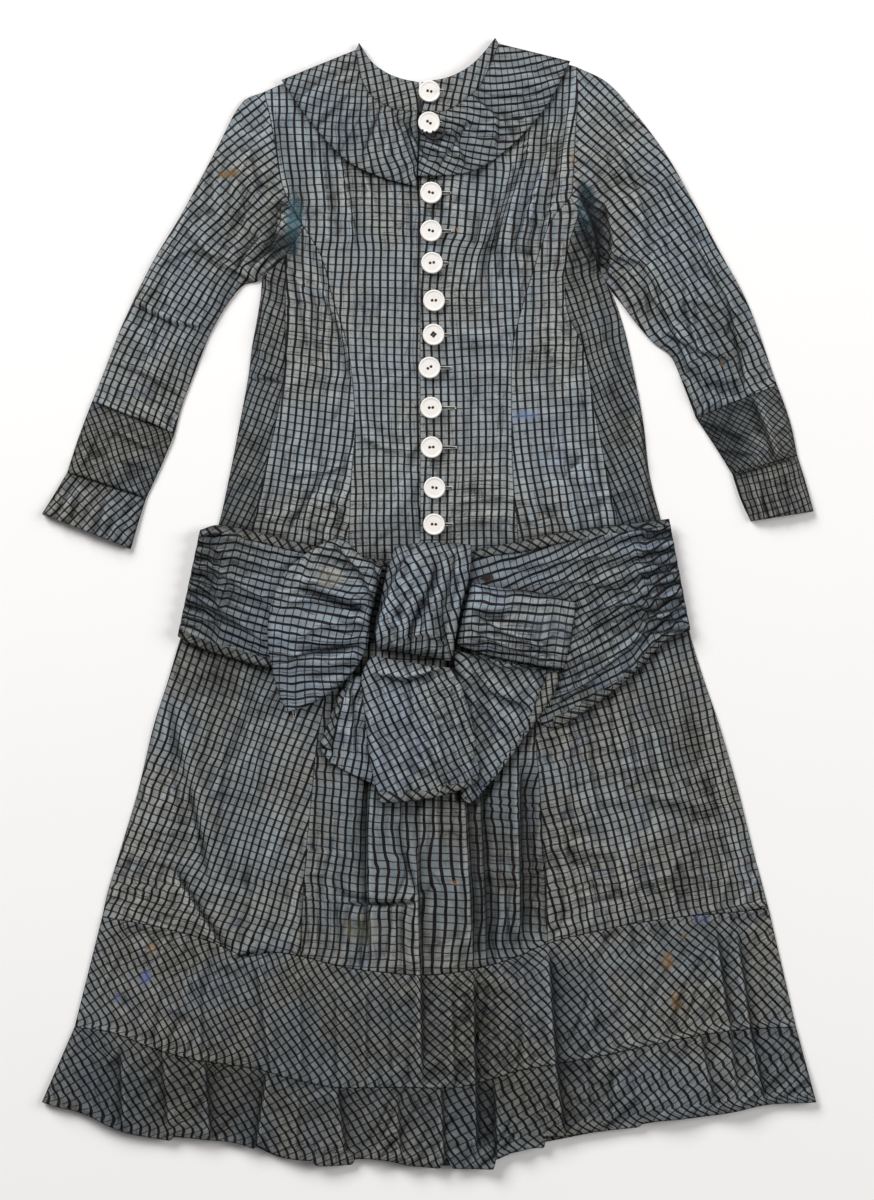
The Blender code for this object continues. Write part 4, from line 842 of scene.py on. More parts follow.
def checkedCotton(name, look, marks, roughness=0.82):
    finish = Finish(name, look["ground"], roughness)
    weave = finish.node("ShaderNodeAttribute", {"attribute_name": "weave"}, output="Vector")
    parts = finish.node("ShaderNodeSeparateXYZ", None, {0: weave})
    u, v = parts, parts.other("Y")
    where = finish.node("ShaderNodeTexCoord", output="Object")
    wide, long = wearAndPaintedShade["slub"]
    alongYarns, acrossYarns = finish.streaks(weave, wide, long), finish.streaks(weave, long, wide)
    slow = finish.noise(where, wearAndPaintedShade["patches"][0], 2.0)
    patchy = finish.noise(finish.vector("ADD", where, (3.1, 1.7, 0)), wearAndPaintedShade["patches"][1], 3.0, 0.6)
    fleck = finish.noise(weave, 2.2, 2.0, 0.7)
    color = finish.mix(finish.between(*wearAndPaintedShade["fadedFrom"], slow), look["ground"], look["faded"])
    blue = finish.between(*wearAndPaintedShade["blueFrom"], patchy) * wearAndPaintedShade["blueShare"]
    color = finish.mix(blue, color, look["blue"])
    least, along, across, flecked = wearAndPaintedShade["yarnShade"]
    color = finish.darker(color, least + along * alongYarns + across * acrossYarns + flecked * fleck)
    least, inked = wearAndPaintedShade["acrossInk"]
    across = stripes(finish, v, check["acrossHalf"]) * (least + inked * acrossYarns)
    least, inked = wearAndPaintedShade["alongInk"]
    along = stripes(finish, u, check["alongHalf"]) * (least + inked * alongYarns)
    stripe = finish.mix(finish.between(*wearAndPaintedShade["wornFrom"], patchy), check["stripe"], check["stripeWorn"])
    for ink, dark, fullest in zip((across, along), ("acrossDark", "alongDark"), wearAndPaintedShade["fullest"]):
        color = finish.mix((ink * check[dark]).maths("MINIMUM", fullest), color, stripe)
    spot = finish.node("ShaderNodeSeparateXYZ", None, {0: where})
    ragged = finish.noise(where, 0.012, 3.0, 0.7)
    # stains, and the painted shadows under the arms and beside the knot
    for (x, y), (wide, tall), tint, strength in marks:
        dx, dy = (spot - x * mm) / (wide * mm), (spot.other("Y") - y * mm) / (tall * mm)
        away = (dx * dx + dy * dy).maths("SQRT") + (ragged - 0.5) * 1.5
        color = finish.mix((1 - finish.between(0.45, 1.15, away)) * strength, color, tint)
    # fine creases: thin sharp lines along and across the yarns, bumped and also painted darker, and a seam's
    # dark line with its puckers
    lengthways = finish.streaks(weave, *wearAndPaintedShade["lengthways"])
    crossways = finish.streaks(weave, *wearAndPaintedShade["crossways"], 1.5)
    crumpled = finish.noise(finish.vector("MULTIPLY", where, wearAndPaintedShade["crumples"]), 1.0, 1.5, 0.55)
    folds = lengthways, crossways, crumpled
    lines = [1 - ((made - 0.5) * wearAndPaintedShade["thin"]).maths("ABSOLUTE").maths("MINIMUM", 1.0) for made in folds]
    lines = lines[0] * finish.between(0.42, 0.58, patchy) + lines[1] * finish.between(0.5, 0.62, slow) + (
        lines[2] * finish.between(0.46, 0.6, fleck * 0.3 + 0.7 * slow))
    one, two, three = wearAndPaintedShade["creaseMix"]
    creased = one * lengthways + two * crossways + three * crumpled
    border, hollow, paintedLightShade = (finish.stored(name) for name in ("border", "hollow", "paintedLightShade"))
    seam = 1 - finish.between(*wearAndPaintedShade["seamFrom"], border + 0.3 * fleck)
    pucker = (1 - finish.between(0.0, wearAndPaintedShade["puckerTo"], border)) * finish.noise(where, 0.0035, 1.0)
    hollow = hollow.maths("MAXIMUM", wearAndPaintedShade["hollow"][0]).maths("MINIMUM", wearAndPaintedShade["hollow"][1])
    # painted shade: darker along creases and crease lines and in hollows, lighter where it stands out, times
    # the piece's painted light and shade
    plain, byCrease, mean, byLine, bySeam, byHollow = wearAndPaintedShade["dim"]
    dim = (plain - byCrease * (creased - mean) - byLine * lines - bySeam * seam + byHollow * hollow) * paintedLightShade
    color = finish.darker(color, dim.maths("MAXIMUM", wearAndPaintedShade["darkest"]))
    finish.feed(finish.shader.inputs["Base Color"], color)
    overUnder = (u * (np.pi / check["yarn"])).maths("SINE") * (v * (np.pi / check["yarn"])).maths("SINE")
    slub = 0.5 * alongYarns + 0.5 * acrossYarns
    woven = (0.35 * overUnder + 0.9 * fleck + 0.6 * slub) * 0.12
    finish.bump(woven - (creased + 0.9 * lines) * look["creased"] + 0.5 * pucker, 1.0, 0.001)
    finish.feed(finish.shader.inputs["Roughness"], 0.5 + 0.25 * fleck)
    finish.shader.inputs["Specular IOR Level"].default_value = 0.12
    return finish.material


def plainThread(name, color, roughness=0.8):  # sewing thread, with a twist
    finish = Finish(name, color, roughness)
    where = finish.node("ShaderNodeTexCoord", output="Object")
    twist = finish.noise(where, 0.0006, 2.0)
    dark = tuple(c * 0.55 for c in color)
    color = finish.mix(finish.between(0.35, 0.65, twist), dark, color)
    finish.feed(finish.shader.inputs["Base Color"], color)
    finish.bump(twist, 0.6, 0.0001)
    return finish.material


def stainsAndPaintedShadowsBetween(marks, low, high):  # the stains and painted shadows whose middle lies between two heights
    return [mark for mark in marks if low <= mark[0][1] < high]


materials = {
    "bodice": checkedCotton("bodiceCotton", cottons["bodice"], stainsAndPaintedShadowsBetween(stainsAndPaintedShadows, 60, 500)),
    "skirt": checkedCotton("skirtCotton", cottons["skirt"], stainsAndPaintedShadowsBetween(stainsAndPaintedShadows, -500, -200)),
    "sash": checkedCotton("sashCotton", cottons["sash"], stainsAndPaintedShadowsBetween(stainsAndPaintedShadows, -60, 60)),
    "trim": checkedCotton("trimCotton", cottons["trim"], stainsAndPaintedShadowsBetween(stainsAndPaintedShadows, -500, -200)),
    "paleThread": plainThread("paleThread", (0.68, 0.65, 0.58)),
    "darkThread": plainThread("darkThread", (0.018, 0.017, 0.020)),
}
print("cloth finishes made")


# Making the cloth
def grainAt(x, y, grain):  # the turn of the cloth's lengthways yarns, from a few places where it is known
    if len(grain) == 1:
        return np.full(np.shape(x), np.radians(grain[0][2]))
    weight = [1 / ((x - px) ** 2 + (y - py) ** 2 + 60) ** 1.2 for px, py, _ in grain]
    total = sum(w * angle for w, (_, _, angle) in zip(weight, grain))
    return np.radians(total / sum(weight))


def runSum(steps, axis):  # sums from the first row or column
    start = np.zeros_like(np.take(steps, [0], axis))
    return np.concatenate([start, np.cumsum(steps, axis)], axis)


def weaveOf(x, y, z, grain, shifted=1.0, stretch=(1, 1)):  # where each point lies in the uncut cloth
    found = []
    turn = grainAt(x, y, grain)
    row, column = x.shape[0] // 2, x.shape[1] // 2
    extraX, extraY = shiftMapX.at(x, y) * shifted, shiftMapY.at(x, y) * shifted
    for angle, longer in ((turn, stretch[0]), (turn + np.pi / 2, stretch[1])):
        c, s = np.cos(angle), np.sin(angle)
        sums = []
        for axis in (0, 1):
            dx, dy, dz = (np.diff(part, axis=axis) for part in (x, y, z))
            meanC, meanS = (
                (np.delete(part, 0, axis) + np.delete(part, -1, axis)) / 2 for part in (c, s)
            )
            flat = np.maximum(np.hypot(dx, dy), 1e-4)
            slope = np.minimum(np.sqrt(1 + (dz / flat) ** 2), 1.5)
            sums.append(runSum((dx * meanC + dy * meanS) * slope * longer, axis))
        down, across = sums
        one = (down - down[[row]])[:, [column]] + across - across[:, [column]]
        two = (across - across[:, [column]])[[row]] + down - down[[row]]
        base = x[row, column] * c[row, column] + y[row, column] * s[row, column]
        found.append((one + two) / 2 + base + extraX * c + extraY * s)
    return found


def borderOf(grid):  # how far each point lies from the piece's nearest border
    found = []
    for axis in (0, 1):
        run = runSum(np.linalg.norm(np.diff(grid, axis=axis), axis=-1), axis)
        whole = run[-1:] if axis == 0 else run[:, -1:]
        found.append(np.minimum(run, whole - run))
    return np.minimum(*found)


def hollowOf(top):  # how far each point stands out from its neighbours, or lies under them
    soft = top
    for _ in range(12):
        wide = np.pad(soft, 1, mode="edge")
        soft = (wide[:-2, 1:-1] + wide[2:, 1:-1] + wide[1:-1, :-2] + wide[1:-1, 2:] + 2 * soft) / 6
    return top - soft


# How strongly each piece is creased along its rows, across them and at random, its painted shade for the way
# it turns from the light, and how much its check is drawn together across and along, by how its name begins
creasing = {
    "bodice_front": (1.0, 0.9, 0.9, 1.0, 1.0, 0.99),
    "bodice_side_front": (1.6, 0.9, 1.0, 1.0, 0.99, 0.97),
    "bodice_side": (2.4, 0.7, 0.8, 0.60, 1.13, 1.0),
    "sleeve_upper": (1.7, 0.9, 1.1, 0.94, 0.95, 0.97),
    "cuff": (1.4, 1.4, 1.8, 0.66, 1.2, 1.1),
    "cuff_right": (1.6, 1.6, 2.0, 0.5, 1.7, 1.15),
    "cuff_frill": (1.7, 0.9, 1.2, 0.92, 1.04, 1.0),
    "cuff_frill_right": (1.9, 0.9, 1.2, 0.66, 1.3, 1.0),
    "neckband": (0.5, 0.5, 0.4, 0.9, 1.0, 1.0),
    "collar": (0.5, 1.9, 0.8, 0.84, 1.06, 1.08),
    "skirt": (1.5, 0.8, 0.8, 0.92, 0.97, 0.96),
    "skirt_centre": (2.4, 0.8, 0.9, 0.82, 0.97, 0.95),
    "band": (1.5, 0.6, 0.8, 0.84, 1.02, 1.0),
    "ruffle": (1.6, 0.5, 0.8, 0.68, 1.0, 0.97),
    "sash": (1.7, 0.7, 0.9, 0.82, 1.0, 1.0),
    "bow": (1.7, 0.9, 1.1, 0.95, 0.95, 0.94),
    "back": (0.5, 0.4, 0.5, 0.9, 1.0, 1.0),
}
# Painted shade where the cloth turns from the light and lies in shadow and in gaps; below 0 it is painted
# light
paintedLightShadeSpots = [  # middle, half size, and how much darker it is painted there
    ((-158, 60), (30, 90), 0.15), ((168, 40), (26, 90), 0.1), ((238, 208), (26, 60), 0.3),
    ((-120, 284), (16, 20), 0.4), ((130, 296), (14, 26), 0.35), ((9, -360), (150, 60), 0.2),
    ((-200, -390), (90, 40), 0.25), ((-90, -320), (60, 70), 0.12), ((268, 134), (11, 26), -0.9),
    ((232, 118), (20, 34), 0.35), ((-166, 150), (14, 200), 0.12), ((5, -160), (60, 50), 0.15),
    ((-170, -60), (24, 300), 0.12), ((210, -180), (22, 120), 0.25), ((196, -375), (60, 26), -0.3),
    ((-225, -385), (50, 34), 0.12), ((20, -395), (50, 26), 0.15), ((20, -340), (44, 34), 0.15),
    ((36, -250), (13, 130), 0.2), ((3, 374), (13, 5), 0.85), ((0, 60), (60, 8), 0.2),
    ((73, -230), (9, 90), 0.25), ((-160, -60), (60, 24), 0.3), ((150, -80), (70, 20), 0.2),
    ((0, 52), (150, 12), 0.25), ((-176, 0), (14, 50), 0.25), ((182, 10), (18, 60), 0.35),
    ((-250, 60), (60, 60), 0.1),
]
shading = {  # how much darker or brighter the cloth is painted: painted shade and painted highlight
    "fold": 0.9,  # painted shade on the shaded side of a fold line
    "lit": 0.35,  # painted highlight on its lip
    "core": (0.8, 1.4, 1.2),  # painted shade in its sharp line, how soon that is full, and its width
    "contact": (0.5, 4.5),  # painted shadow along what lies on it, and how wide
    "rim": (0.35, 1.8),  # painted shade along its own edge, and how wide
}
smallFolds = {  # of every piece
    "wander": (6, 34),  # how far the small folds stray, and how slowly
    "along": (13, 70),  # width and length
    "across": (12, 50),
    "loose": (20, 32),
    "slant": 0.6,
    "uneven": (0.75, 0.45, 60),
    "height": (1.5, 1.6),  # where they only rise, and elsewhere
    "rise": (0.7, 2.6),  # the most they rise under other pieces, and what is added where they lie free
    "lift": 0.6,
    "deepest": (-0.2, -2.5),
    "border": 6,  # how far in from a border they are whole
    "clear": 9,  # and from what lies on them
}
covers = [  # middle and half size of what lies on the front: collar, sash, bow and buttons
    ((0, 385), (128, 72)), ((0, 5), (195, 62)), ((-10, -60), (118, 105)), ((3, 220), (17, 210)),
]


def manner(node):  # how a piece is creased
    if "back" in node or "_under" in node:
        return creasing["back"]
    return creasing[max((name for name in creasing if node.startswith(name)), key=len)]


def crumple(node, grid):  # the small folds of a piece, in mm, dying out at its borders
    shape = smallFolds
    along, across, loose = manner(node)[:3]
    seed = sum(map(ord, node)) % 9000
    x, y = split(grid)
    runDown, runAcross = (
        runSum(np.linalg.norm(np.diff(grid, axis=axis), axis=-1), axis) for axis in (0, 1)
    )
    far, slow = shape["wander"]
    runAcross = runAcross + far * drift(x, y, slow, seed + 1)
    runDown = runDown + far * drift(x, y, slow, seed + 2)
    total = along * creaseLines(runAcross, runDown, *shape["along"], seed + 3)
    total = total + across * creaseLines(runDown, runAcross, *shape["across"], seed + 4)
    slant = shape["slant"]
    total = total + loose * creaseLines(x + slant * y, y - slant * x, *shape["loose"], seed + 6)
    least, varied, wide = shape["uneven"]
    total = total * (least + varied * drift(x, y, wide, seed + 7))
    free = 1.0 + 0 * x
    if node.startswith(("bodice", "skirt", "sash")):
        for (midX, midY), (wide, tall) in covers[2:3] if "sash" in node else covers:
            away = np.hypot(np.maximum(abs(x - midX) - wide, 0), np.maximum(abs(y - midY) - tall, 0))
            free = free * smoothStep(0, shape["clear"], away)
    most = shape["rise"][0] + shape["rise"][1] * free
    if node.startswith(("collar", "neckband", "sash", "bow")):  # close on others, so they only rise
        folds = np.clip(shape["height"][0] * total + shape["lift"], shape["deepest"][0], most)
    else:
        folds = np.clip(shape["height"][1] * total, shape["deepest"][1], most)
    return folds * smoothStep(0, shape["border"], borderOf(grid))


def contactLines(node):  # outlines of what lies on this piece and shades it
    below = {
        "bodice": [side["collar"] for side in (yokeLeft, yokeRight)]
        + [side["top"] for side in (sashLeft, sashRight)],
        "skirt": [side["low"] for side in (sashLeft, sashRight)]
        + [tail[name] for tail in (tailCentre, tailRight, tailLeft) for name in ("one", "two")]
        + [tailCentre["mid"][-2:]],
        "sash": [
            part[name] for part in (loopLeft, loopRight, knotLines, tailCentre) for name in ("one", "two")
        ],
        "bow_tail": [part[name] for part in (knotLines, loopLeft, loopRight) for name in ("one", "two")],
        "bow_tail_right": [tailCentre["two"], loopRight["two"], knotLines["two"]],
        "bow_left_loop": [knotLines["one"]],
        "bow_right_loop": [knotLines["two"]],
    }
    names = [name for name in below if node.startswith(name) and "back" not in node]
    return below[max(names, key=len)] if names else []


def linesOn(node):  # the fold lines drawn on a piece
    if manner(node) == creasing["back"]:
        return []
    return laidLines if node.startswith(("bow", "sash", "collar", "neck")) else foldLines


def breaks(node, x, y):  # how far the check jumps where cloth is tucked away in a fold
    total = 0.0 * x
    far, sharp, fade = foldShape["jump"]
    for path, reach, deep in linesOn(node):
        if deep >= foldShape["jumpFrom"]:
            _, _, side, ends = foldSide(x, y, path, reach)
            jump = far * deep * ends * np.tanh(side / sharp) * np.exp(-np.abs(side) / fade)
            total += jump * np.sign(reach)
    return total


# painted light and shade of a piece: its own and the spots', at fold lines, along what lies on it and at its
# edges
def paintedLightShadeOf(node, grid):
    x, y = split(grid)
    paintedLightShade = np.full(x.shape, manner(node)[3])
    for (midX, midY), (wide, tall), darker in paintedLightShadeSpots:
        paintedLightShade = paintedLightShade * (1 - darker * np.exp(-(((x - midX) / wide) ** 2 + ((y - midY) / tall) ** 2)))
    strong, soon, thin = shading["core"]
    for path, reach, deep in linesOn(node):
        shade, bright, side, ends = foldSide(x, y, path, reach)
        core = strong * min(1, soon * deep) * (np.exp(-((side / thin) ** 2)) * ends)
        lit = 1 + shading["lit"] * deep * bright
        paintedLightShade = paintedLightShade * (1 - shading["fold"] * deep * shade) * lit * (1 - core)
    strong, wide = shading["contact"]
    for line in contactLines(node):
        paintedLightShade = paintedLightShade * (1 - strong * np.exp(-((toPath(x, y, line)[0] / wide) ** 2)))
    strong, wide = shading["rim"]
    if node.startswith(("bow", "sash", "collar", "cuff", "ruffle")):
        paintedLightShade = paintedLightShade * (1 - strong * np.exp(-borderOf(grid) / wide))
    return paintedLightShade


def putIn(name, data):  # a new object in the scene
    made = bpy.data.objects.new(name, data)
    bpy.context.scene.collection.objects.link(made)
    return made


def mark(mesh, name, values, kind="FLOAT", socket="value"):  # the same values below as on top
    mesh.attributes.new(name, kind, "POINT").data.foreach_set(socket, np.tile(values, 2))


def shell(name, grid, bottom, grain, material, thick=None, shifted=1.0, phase=(0, 0)):
    # a thin closed sheet of cloth over a grid of places and the height of its underside
    node = name.replace("cloth_", "")
    x, y = split(grid)
    bottom = np.broadcast_to(bottom, x.shape)
    thick = np.broadcast_to(cloth["thick"] if thick is None else thick, x.shape)
    hidden = "under" in name or "back" in name
    least = cloth["hiddenLow"] if hidden else np.minimum(bottom, hiddenLift(x, y) + cloth["frontLow"])
    bottom = np.maximum(np.maximum(bottom + crumple(node, grid), least), cloth["floor"])
    top = bottom + thick
    rows, columns = x.shape
    count = rows * columns
    u, v = weaveOf(x, y, top, grain, shifted, manner(node)[4:])
    jump = breaks(node, x, y)
    u, v = u + jump, v - foldShape["jumpDown"] * jump
    index = np.arange(count).reshape(rows, columns)
    quads = np.stack([index[:-1, :-1], index[:-1, 1:], index[1:, 1:], index[1:, :-1]], -1).reshape(-1, 4)
    ring = np.concatenate([index[0], index[1:, -1], index[-1, -2::-1], index[-2:0:-1, 0]])
    after = np.roll(ring, -1)
    sides = np.stack([ring, after, after + count, ring + count], 1)
    first, across = grid[1, 0] - grid[0, 0], grid[0, 1] - grid[0, 0]
    if across[0] * first[1] - across[1] * first[0] < 0:  # the grid runs the other way round
        quads, sides = quads[:, ::-1], sides[:, ::-1]
    flat = np.stack([np.dstack([grid, top]), np.dstack([grid, bottom])]).reshape(-1, 3)
    faces = np.concatenate([quads, quads[:, ::-1] + count, sides[:, ::-1]])
    mesh = bpy.data.meshes.new(name)
    mesh.from_pydata((flat * mm).tolist(), [], faces.tolist())
    mesh.polygons.foreach_set("use_smooth", [True] * len(faces))
    woven = np.stack([u + phase[0], v + phase[1], np.zeros(x.shape)], -1)
    mark(mesh, "weave", woven.reshape(-1), "FLOAT_VECTOR", "vector")
    mark(mesh, "border", borderOf(grid).reshape(-1))
    mark(mesh, "hollow", hollowOf(top).reshape(-1))
    mark(mesh, "paintedLightShade", paintedLightShadeOf(node, grid).reshape(-1))
    mesh.materials.append(materials[material])
    return putIn(name, mesh)


def flatSize(grid, bottom, gather=(1, 1)):  # the cut's width, length and area in metres, before its gathers
    places = np.dstack([grid, np.broadcast_to(bottom, grid.shape[:2])])
    across = places[:-1, 1:] - places[:-1, :-1]
    down = places[1:, :-1] - places[:-1, :-1]
    area = np.linalg.norm(np.cross(across, down), axis=-1).sum() * gather[0] * gather[1] * mm**2
    wide = np.linalg.norm(np.diff(places, axis=1), axis=-1).sum(1).max() * gather[0] * mm
    tall = np.linalg.norm(np.diff(places, axis=0), axis=-1).sum(0).max() * gather[1] * mm
    return (round(wide, 4), round(tall, 4)), round(min(area, wide * tall), 6)


def wear(made, node):  # puts a piece in its solid's place
    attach(made, "root")
    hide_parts(node)
    return made


def garment(node, grid, bottom, grain, material="bodice", slot="checked_cotton", *,
            held="laid", on=(), gather=(1, 1), bound=(), **more):
    # one cut piece of cloth in the place of its solid; the size it was cut to is worked out but not kept
    made = wear(shell("cloth_" + node, grid, bottom, grain, material, **more), node)
    flat, area = flatSize(grid, bottom, gather)
    below = ["cloth_" + piece for piece in on]
    return made


def binding(node, grid, bottom, grain):  # a narrow strip along an edge of the cloth that it binds
    return wear(shell("cloth_" + node, grid, bottom, grain, "trim", phase=(1, 0)), node)


def thread(name, points, width, material):  # a sewn or loose thread as a thin round tube, points in mm
    data = bpy.data.curves.new(name, "CURVE")
    data.dimensions, data.bevel_depth, data.bevel_resolution = "3D", width * mm / 2, 2
    data.use_fill_caps = True
    line = data.splines.new("NURBS")
    line.points.add(len(points) - 1)
    for point, place in zip(line.points, points):
        point.co = (*(np.array(place) * mm), 1)
    line.use_endpoint_u, line.order_u = True, 3
    data.materials.append(materials[material])
    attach(putIn(name, data), "root")


def seamed(grid, sink=(0.5, 0.16)):  # how far a panel's borders turn down into their seams
    down = np.zeros(grid.shape[:2])
    for view in (down, down.T):
        for k, depth in enumerate(sink):
            view[k] = np.maximum(view[k], depth)
            view[-1 - k] = np.maximum(view[-1 - k], depth)
    return down


def panelGrid(left, right, cell, wide=None):  # a smooth panel between two lines with matching points
    middle = (np.array(left, float) + np.array(right, float)) / 2
    counts = countsAlong(middle, cell)
    edges = curve(left, counts), curve(right, counts)
    across = spread(wide or np.linalg.norm(edges[0] - edges[1], axis=1).mean(), cell)
    return counts, across, ruled(*edges, across)


# Bodice
bodiceGrain = {  # places and the turn of the lengthways yarns there, in degrees
    "frontLeft": [(-43, 362, 3), (-35, 282, 1), (-35, 220, -2), (-35, 106, 2), (-100, 350, 4)],
    "sideFrontLeft": [(-79, 282, 1), (-83, 218, -2), (-79, 162, -7), (-87, 114, -10), (-87, 70, -13)],
    "sideLeft": [(-127, 218, -17), (-133, 162, -22), (-143, 106, -26), (-155, 50, -27)],
    "frontRight": [(60, 320, -9), (33, 282, -6), (33, 222, 3), (33, 150, 1), (35, 80, -2), (95, 340, 2)],
    "sideFrontRight": [(97, 274, -6), (101, 218, -4), (105, 162, 5), (113, 114, 8), (117, 74, 11)],
    "sideRight": [(145, 218, 14), (153, 162, 28), (165, 106, 24), (175, 50, 20)],
    "back": [(0, 200, 0)],
}


def makeBodice():
    for side, yoke, bodice, lapped in (
        ("Left", yokeLeft, bodiceLeft, 0),
        ("Right", yokeRight, bodiceRight, 1),
    ):
        outer, inner = yoke["arm"] + bodice["shaped"], yoke["neck"] + bodice["centre"]
        front = panelGrid(outer, inner, cloth["cell"])[-1]
        rows = countsAlong(bodice["side"], cloth["cell"])
        seams = curve(bodice["side"], rows), curve(outer, rows + len(yoke["arm"]))
        sideFront = ruled(*seams, spread(55, cloth["cell"]))
        sidePiece = panelGrid(bodice["edge"], bodice["side"], cloth["cell"])[-1]
        for node, grid, grain in (
            ("bodice_front_", front, "front"),
            ("bodice_side_front_", sideFront, "sideFront"),
            ("bodice_side_", sidePiece, "side"),
        ):
            x, y = split(grid)
            bottom = frontBottom(x, y) + cloth["seat"] - seamed(grid) + lapRise(x) * lapped
            garment(node + side.lower(), grid, bottom, bodiceGrain[grain + side], on=["bodice_back"],
                    phase=(1.6 * lapped, 2.1 * lapped))


def hiddenArmhole(yoke, bodice):
    return yoke["arm"] + [bodice[name][0] for name in ("shaped", "side", "edge")]


def makeBodiceBack():
    lines = [hiddenArmhole(yoke, bodice) + bodice["edge"][1:]
             for yoke, bodice in ((yokeLeft, bodiceLeft), (yokeRight, bodiceRight))]
    neck = curve(hiddenNeck["neck"], np.linspace(0, 6, 40))
    top = np.vstack([lines[0][0], neck, lines[1][0]])
    top = evenAlong(top, spread(320, cloth["hiddenCell"]))
    counts = countsAlong(np.mean(lines, axis=0), cloth["hiddenCell"])
    left, right = (curve(line, counts) for line in lines)
    fractions = (top[:, 0] - left[0, 0]) / (right[0, 0] - left[0, 0])
    grid = bend(ruled(left, right, np.clip(fractions, 0, 1)), top, 0, counts, 7)
    x, y = split(grid)
    puff = 0.25 * smoothStep(4, 20, edgeMap.at(x, y)) * (1 + drift(x, y, 40, 11))
    bottom = hiddenLift(x, y) + cloth["hiddenSeat"] + puff
    garment("bodice_back", grid, bottom, bodiceGrain["back"], shifted=0.8)


# Sleeves, cuffs and frills
sleeveGrain = {
    "left": [(-140, 372, -58), (-151, 338, -52), (-167, 298, -43), (-191, 266, -34), (-215, 226, -27),
             (-231, 190, -18)],
    "right": [(150, 372, 50), (161, 338, 45), (185, 306, 36), (209, 266, 32), (225, 234, 34),
              (253, 196, 24)],
    "cuffLeft": [(-252, 130, 20), (-262, 100, 26)],
    "cuffRight": [(245, 140, 62), (288, 130, 44)],
    "frillLeft": [(-270, 80, -48), (-285, 85, -38)],
    "frillRight": [(268, 88, 12), (295, 88, 22)],
}
frill = {"waves": 7, "height": 3.0, "uneven": (0.5, 1.0, 0.35, 0.9, 0.6, 1.0, 0.45)}


def makeSleeve(side, yoke, bodice, sleeve, cuff):
    outerLine = yoke["arm"] + bodice["shaped"]
    upperSeam = np.vstack([curve(outerLine, np.linspace(0, 5, 60)), bodice["side"][0], bodice["edge"][0]])
    underSeam = hiddenArmhole(yoke, bodice)
    for node, seam, cell in (
        ("sleeve_upper_", upperSeam, cloth["cell"]),
        ("sleeve_under_", underSeam, cloth["hiddenCell"]),
    ):
        fractions = spread(lengthOf(seam), cell)
        out, inner = ([tuple(seam[k])] + sleeve[name] for k, name in ((0, "out"), (-1, "in")))
        counts = countsAlong((np.array(out) + np.array(inner)) / 2, cell)
        grid = ruled(curve(out, counts), curve(inner, counts), fractions)
        grid = bend(grid, evenAlong(seam, fractions), 0, counts, 3)
        x, y = split(grid)
        if cell == cloth["cell"]:
            bottom = frontBottom(x, y) + cloth["seat"] - seamed(grid)
            below = ["sleeve_under_" + side]
        else:
            bottom, below = hiddenLift(x, y) + cloth["hiddenSeat"], []
        garment(node + side, grid, bottom, sleeveGrain[side], on=below)
    name = side.title()
    for node, first, last in (("cuff_", 0, 2), ("cuff_frill_", 2, 4)):
        lines = [cuff[key][first : last + 1] for key in ("out", "in")]
        counts, across, grid = panelGrid(*lines, 1.6)
        x, y = split(grid)
        bottom = frontBottom(x, y) + cloth["seat"]
        if node == "cuff_":
            bottom = bottom + 0.5 * np.exp(-counts[:, None] * 3) - 0.5 * seamed(grid)
            bottom = bottom + 0.35 * drift(x, y, 13, 21) + 0.2 * drift(x, y, 7, 22)
            grain = sleeveGrain["cuff" + name]
        else:
            growth = (counts / 2)[:, None]
            height = np.interp(across * frill["waves"], np.arange(7) + 0.5, frill["uneven"])
            wave = frill["height"] * (0.5 - 0.5 * np.cos(2 * np.pi * frill["waves"] * across)) * height
            bottom = bottom + wave[None] * (0.3 + 0.7 * growth) + growth * frill["height"] / 2
            grain = sleeveGrain["frill" + name]
        held, gather = ("gathered", (1.2, 1)) if "frill" in node else ("laid", (1, 1))
        garment(node + side, grid, bottom, grain, "trim", on=[node + "under_" + side], held=held,
                gather=gather)
        grid = panelGrid(*lines, cloth["hiddenCell"])[-1]
        garment(node + "under_" + side, grid, cloth["hiddenSeat"], grain, "trim")


# Neckband and collar
neckGrain = {
    "bandLeft": [(-30, 412, 12)],
    "bandRight": [(30, 415, -10)],
    "collarLeft": [(-95, 410, -22), (-79, 394, -8), (-47, 362, 12), (-18, 350, 30)],
    "collarRight": [(95, 415, 112), (73, 394, 98), (33, 362, 76), (5, 350, 58)],
    "under": [(0, 380, 40)],
}
collarShape = {"pleats": 2.5, "height": 1.6, "uneven": 0.55, "gather": 1.15}  # pleats to a station


def makeNeck(side, yoke, bodice):
    name = side.title()
    neckLine = yoke["neck"] + bodice["centre"]
    counts = countsAlong(yoke["neck"], 1.8)
    neck = curve(neckLine, counts)
    grid = ruled(curve(yoke["band"], counts), neck, spread(24, 1.8))
    x, y = split(grid)
    garment("neckband_" + side, grid, frontBottom(x, y) + cloth["seat"] - 0.4 * seamed(grid),
            neckGrain["band" + name], on=["neckband_under"])
    counts = countsAlong(yoke["collar"], 1.8)
    across = spread(62, 1.8)
    grid = ruled(curve(neckLine, counts), curve(yoke["collar"], counts), across)
    x, y = split(grid)
    swell = np.sin(np.pi * (0.1 + 0.8 * across))[None]
    wave = 0.5 - 0.5 * np.cos(counts * 2 * collarShape["pleats"] * np.pi)
    uneven = 1 - collarShape["uneven"] * (0.5 + 0.5 * drift(x, y, 60, 31 + len(side)))
    bottom = over(x, y) + cloth["seat"] + collarShape["height"] * wave[:, None] * swell * uneven
    bottom = bottom + 0.3 * drift(x, y, 16, 33) - 0.3 * seamed(grid)
    garment("collar_" + side, grid, bottom, neckGrain["collar" + name], held="gathered",
            on=["bodice_front_" + side], gather=(1, collarShape["gather"]), phase=(2, 1))


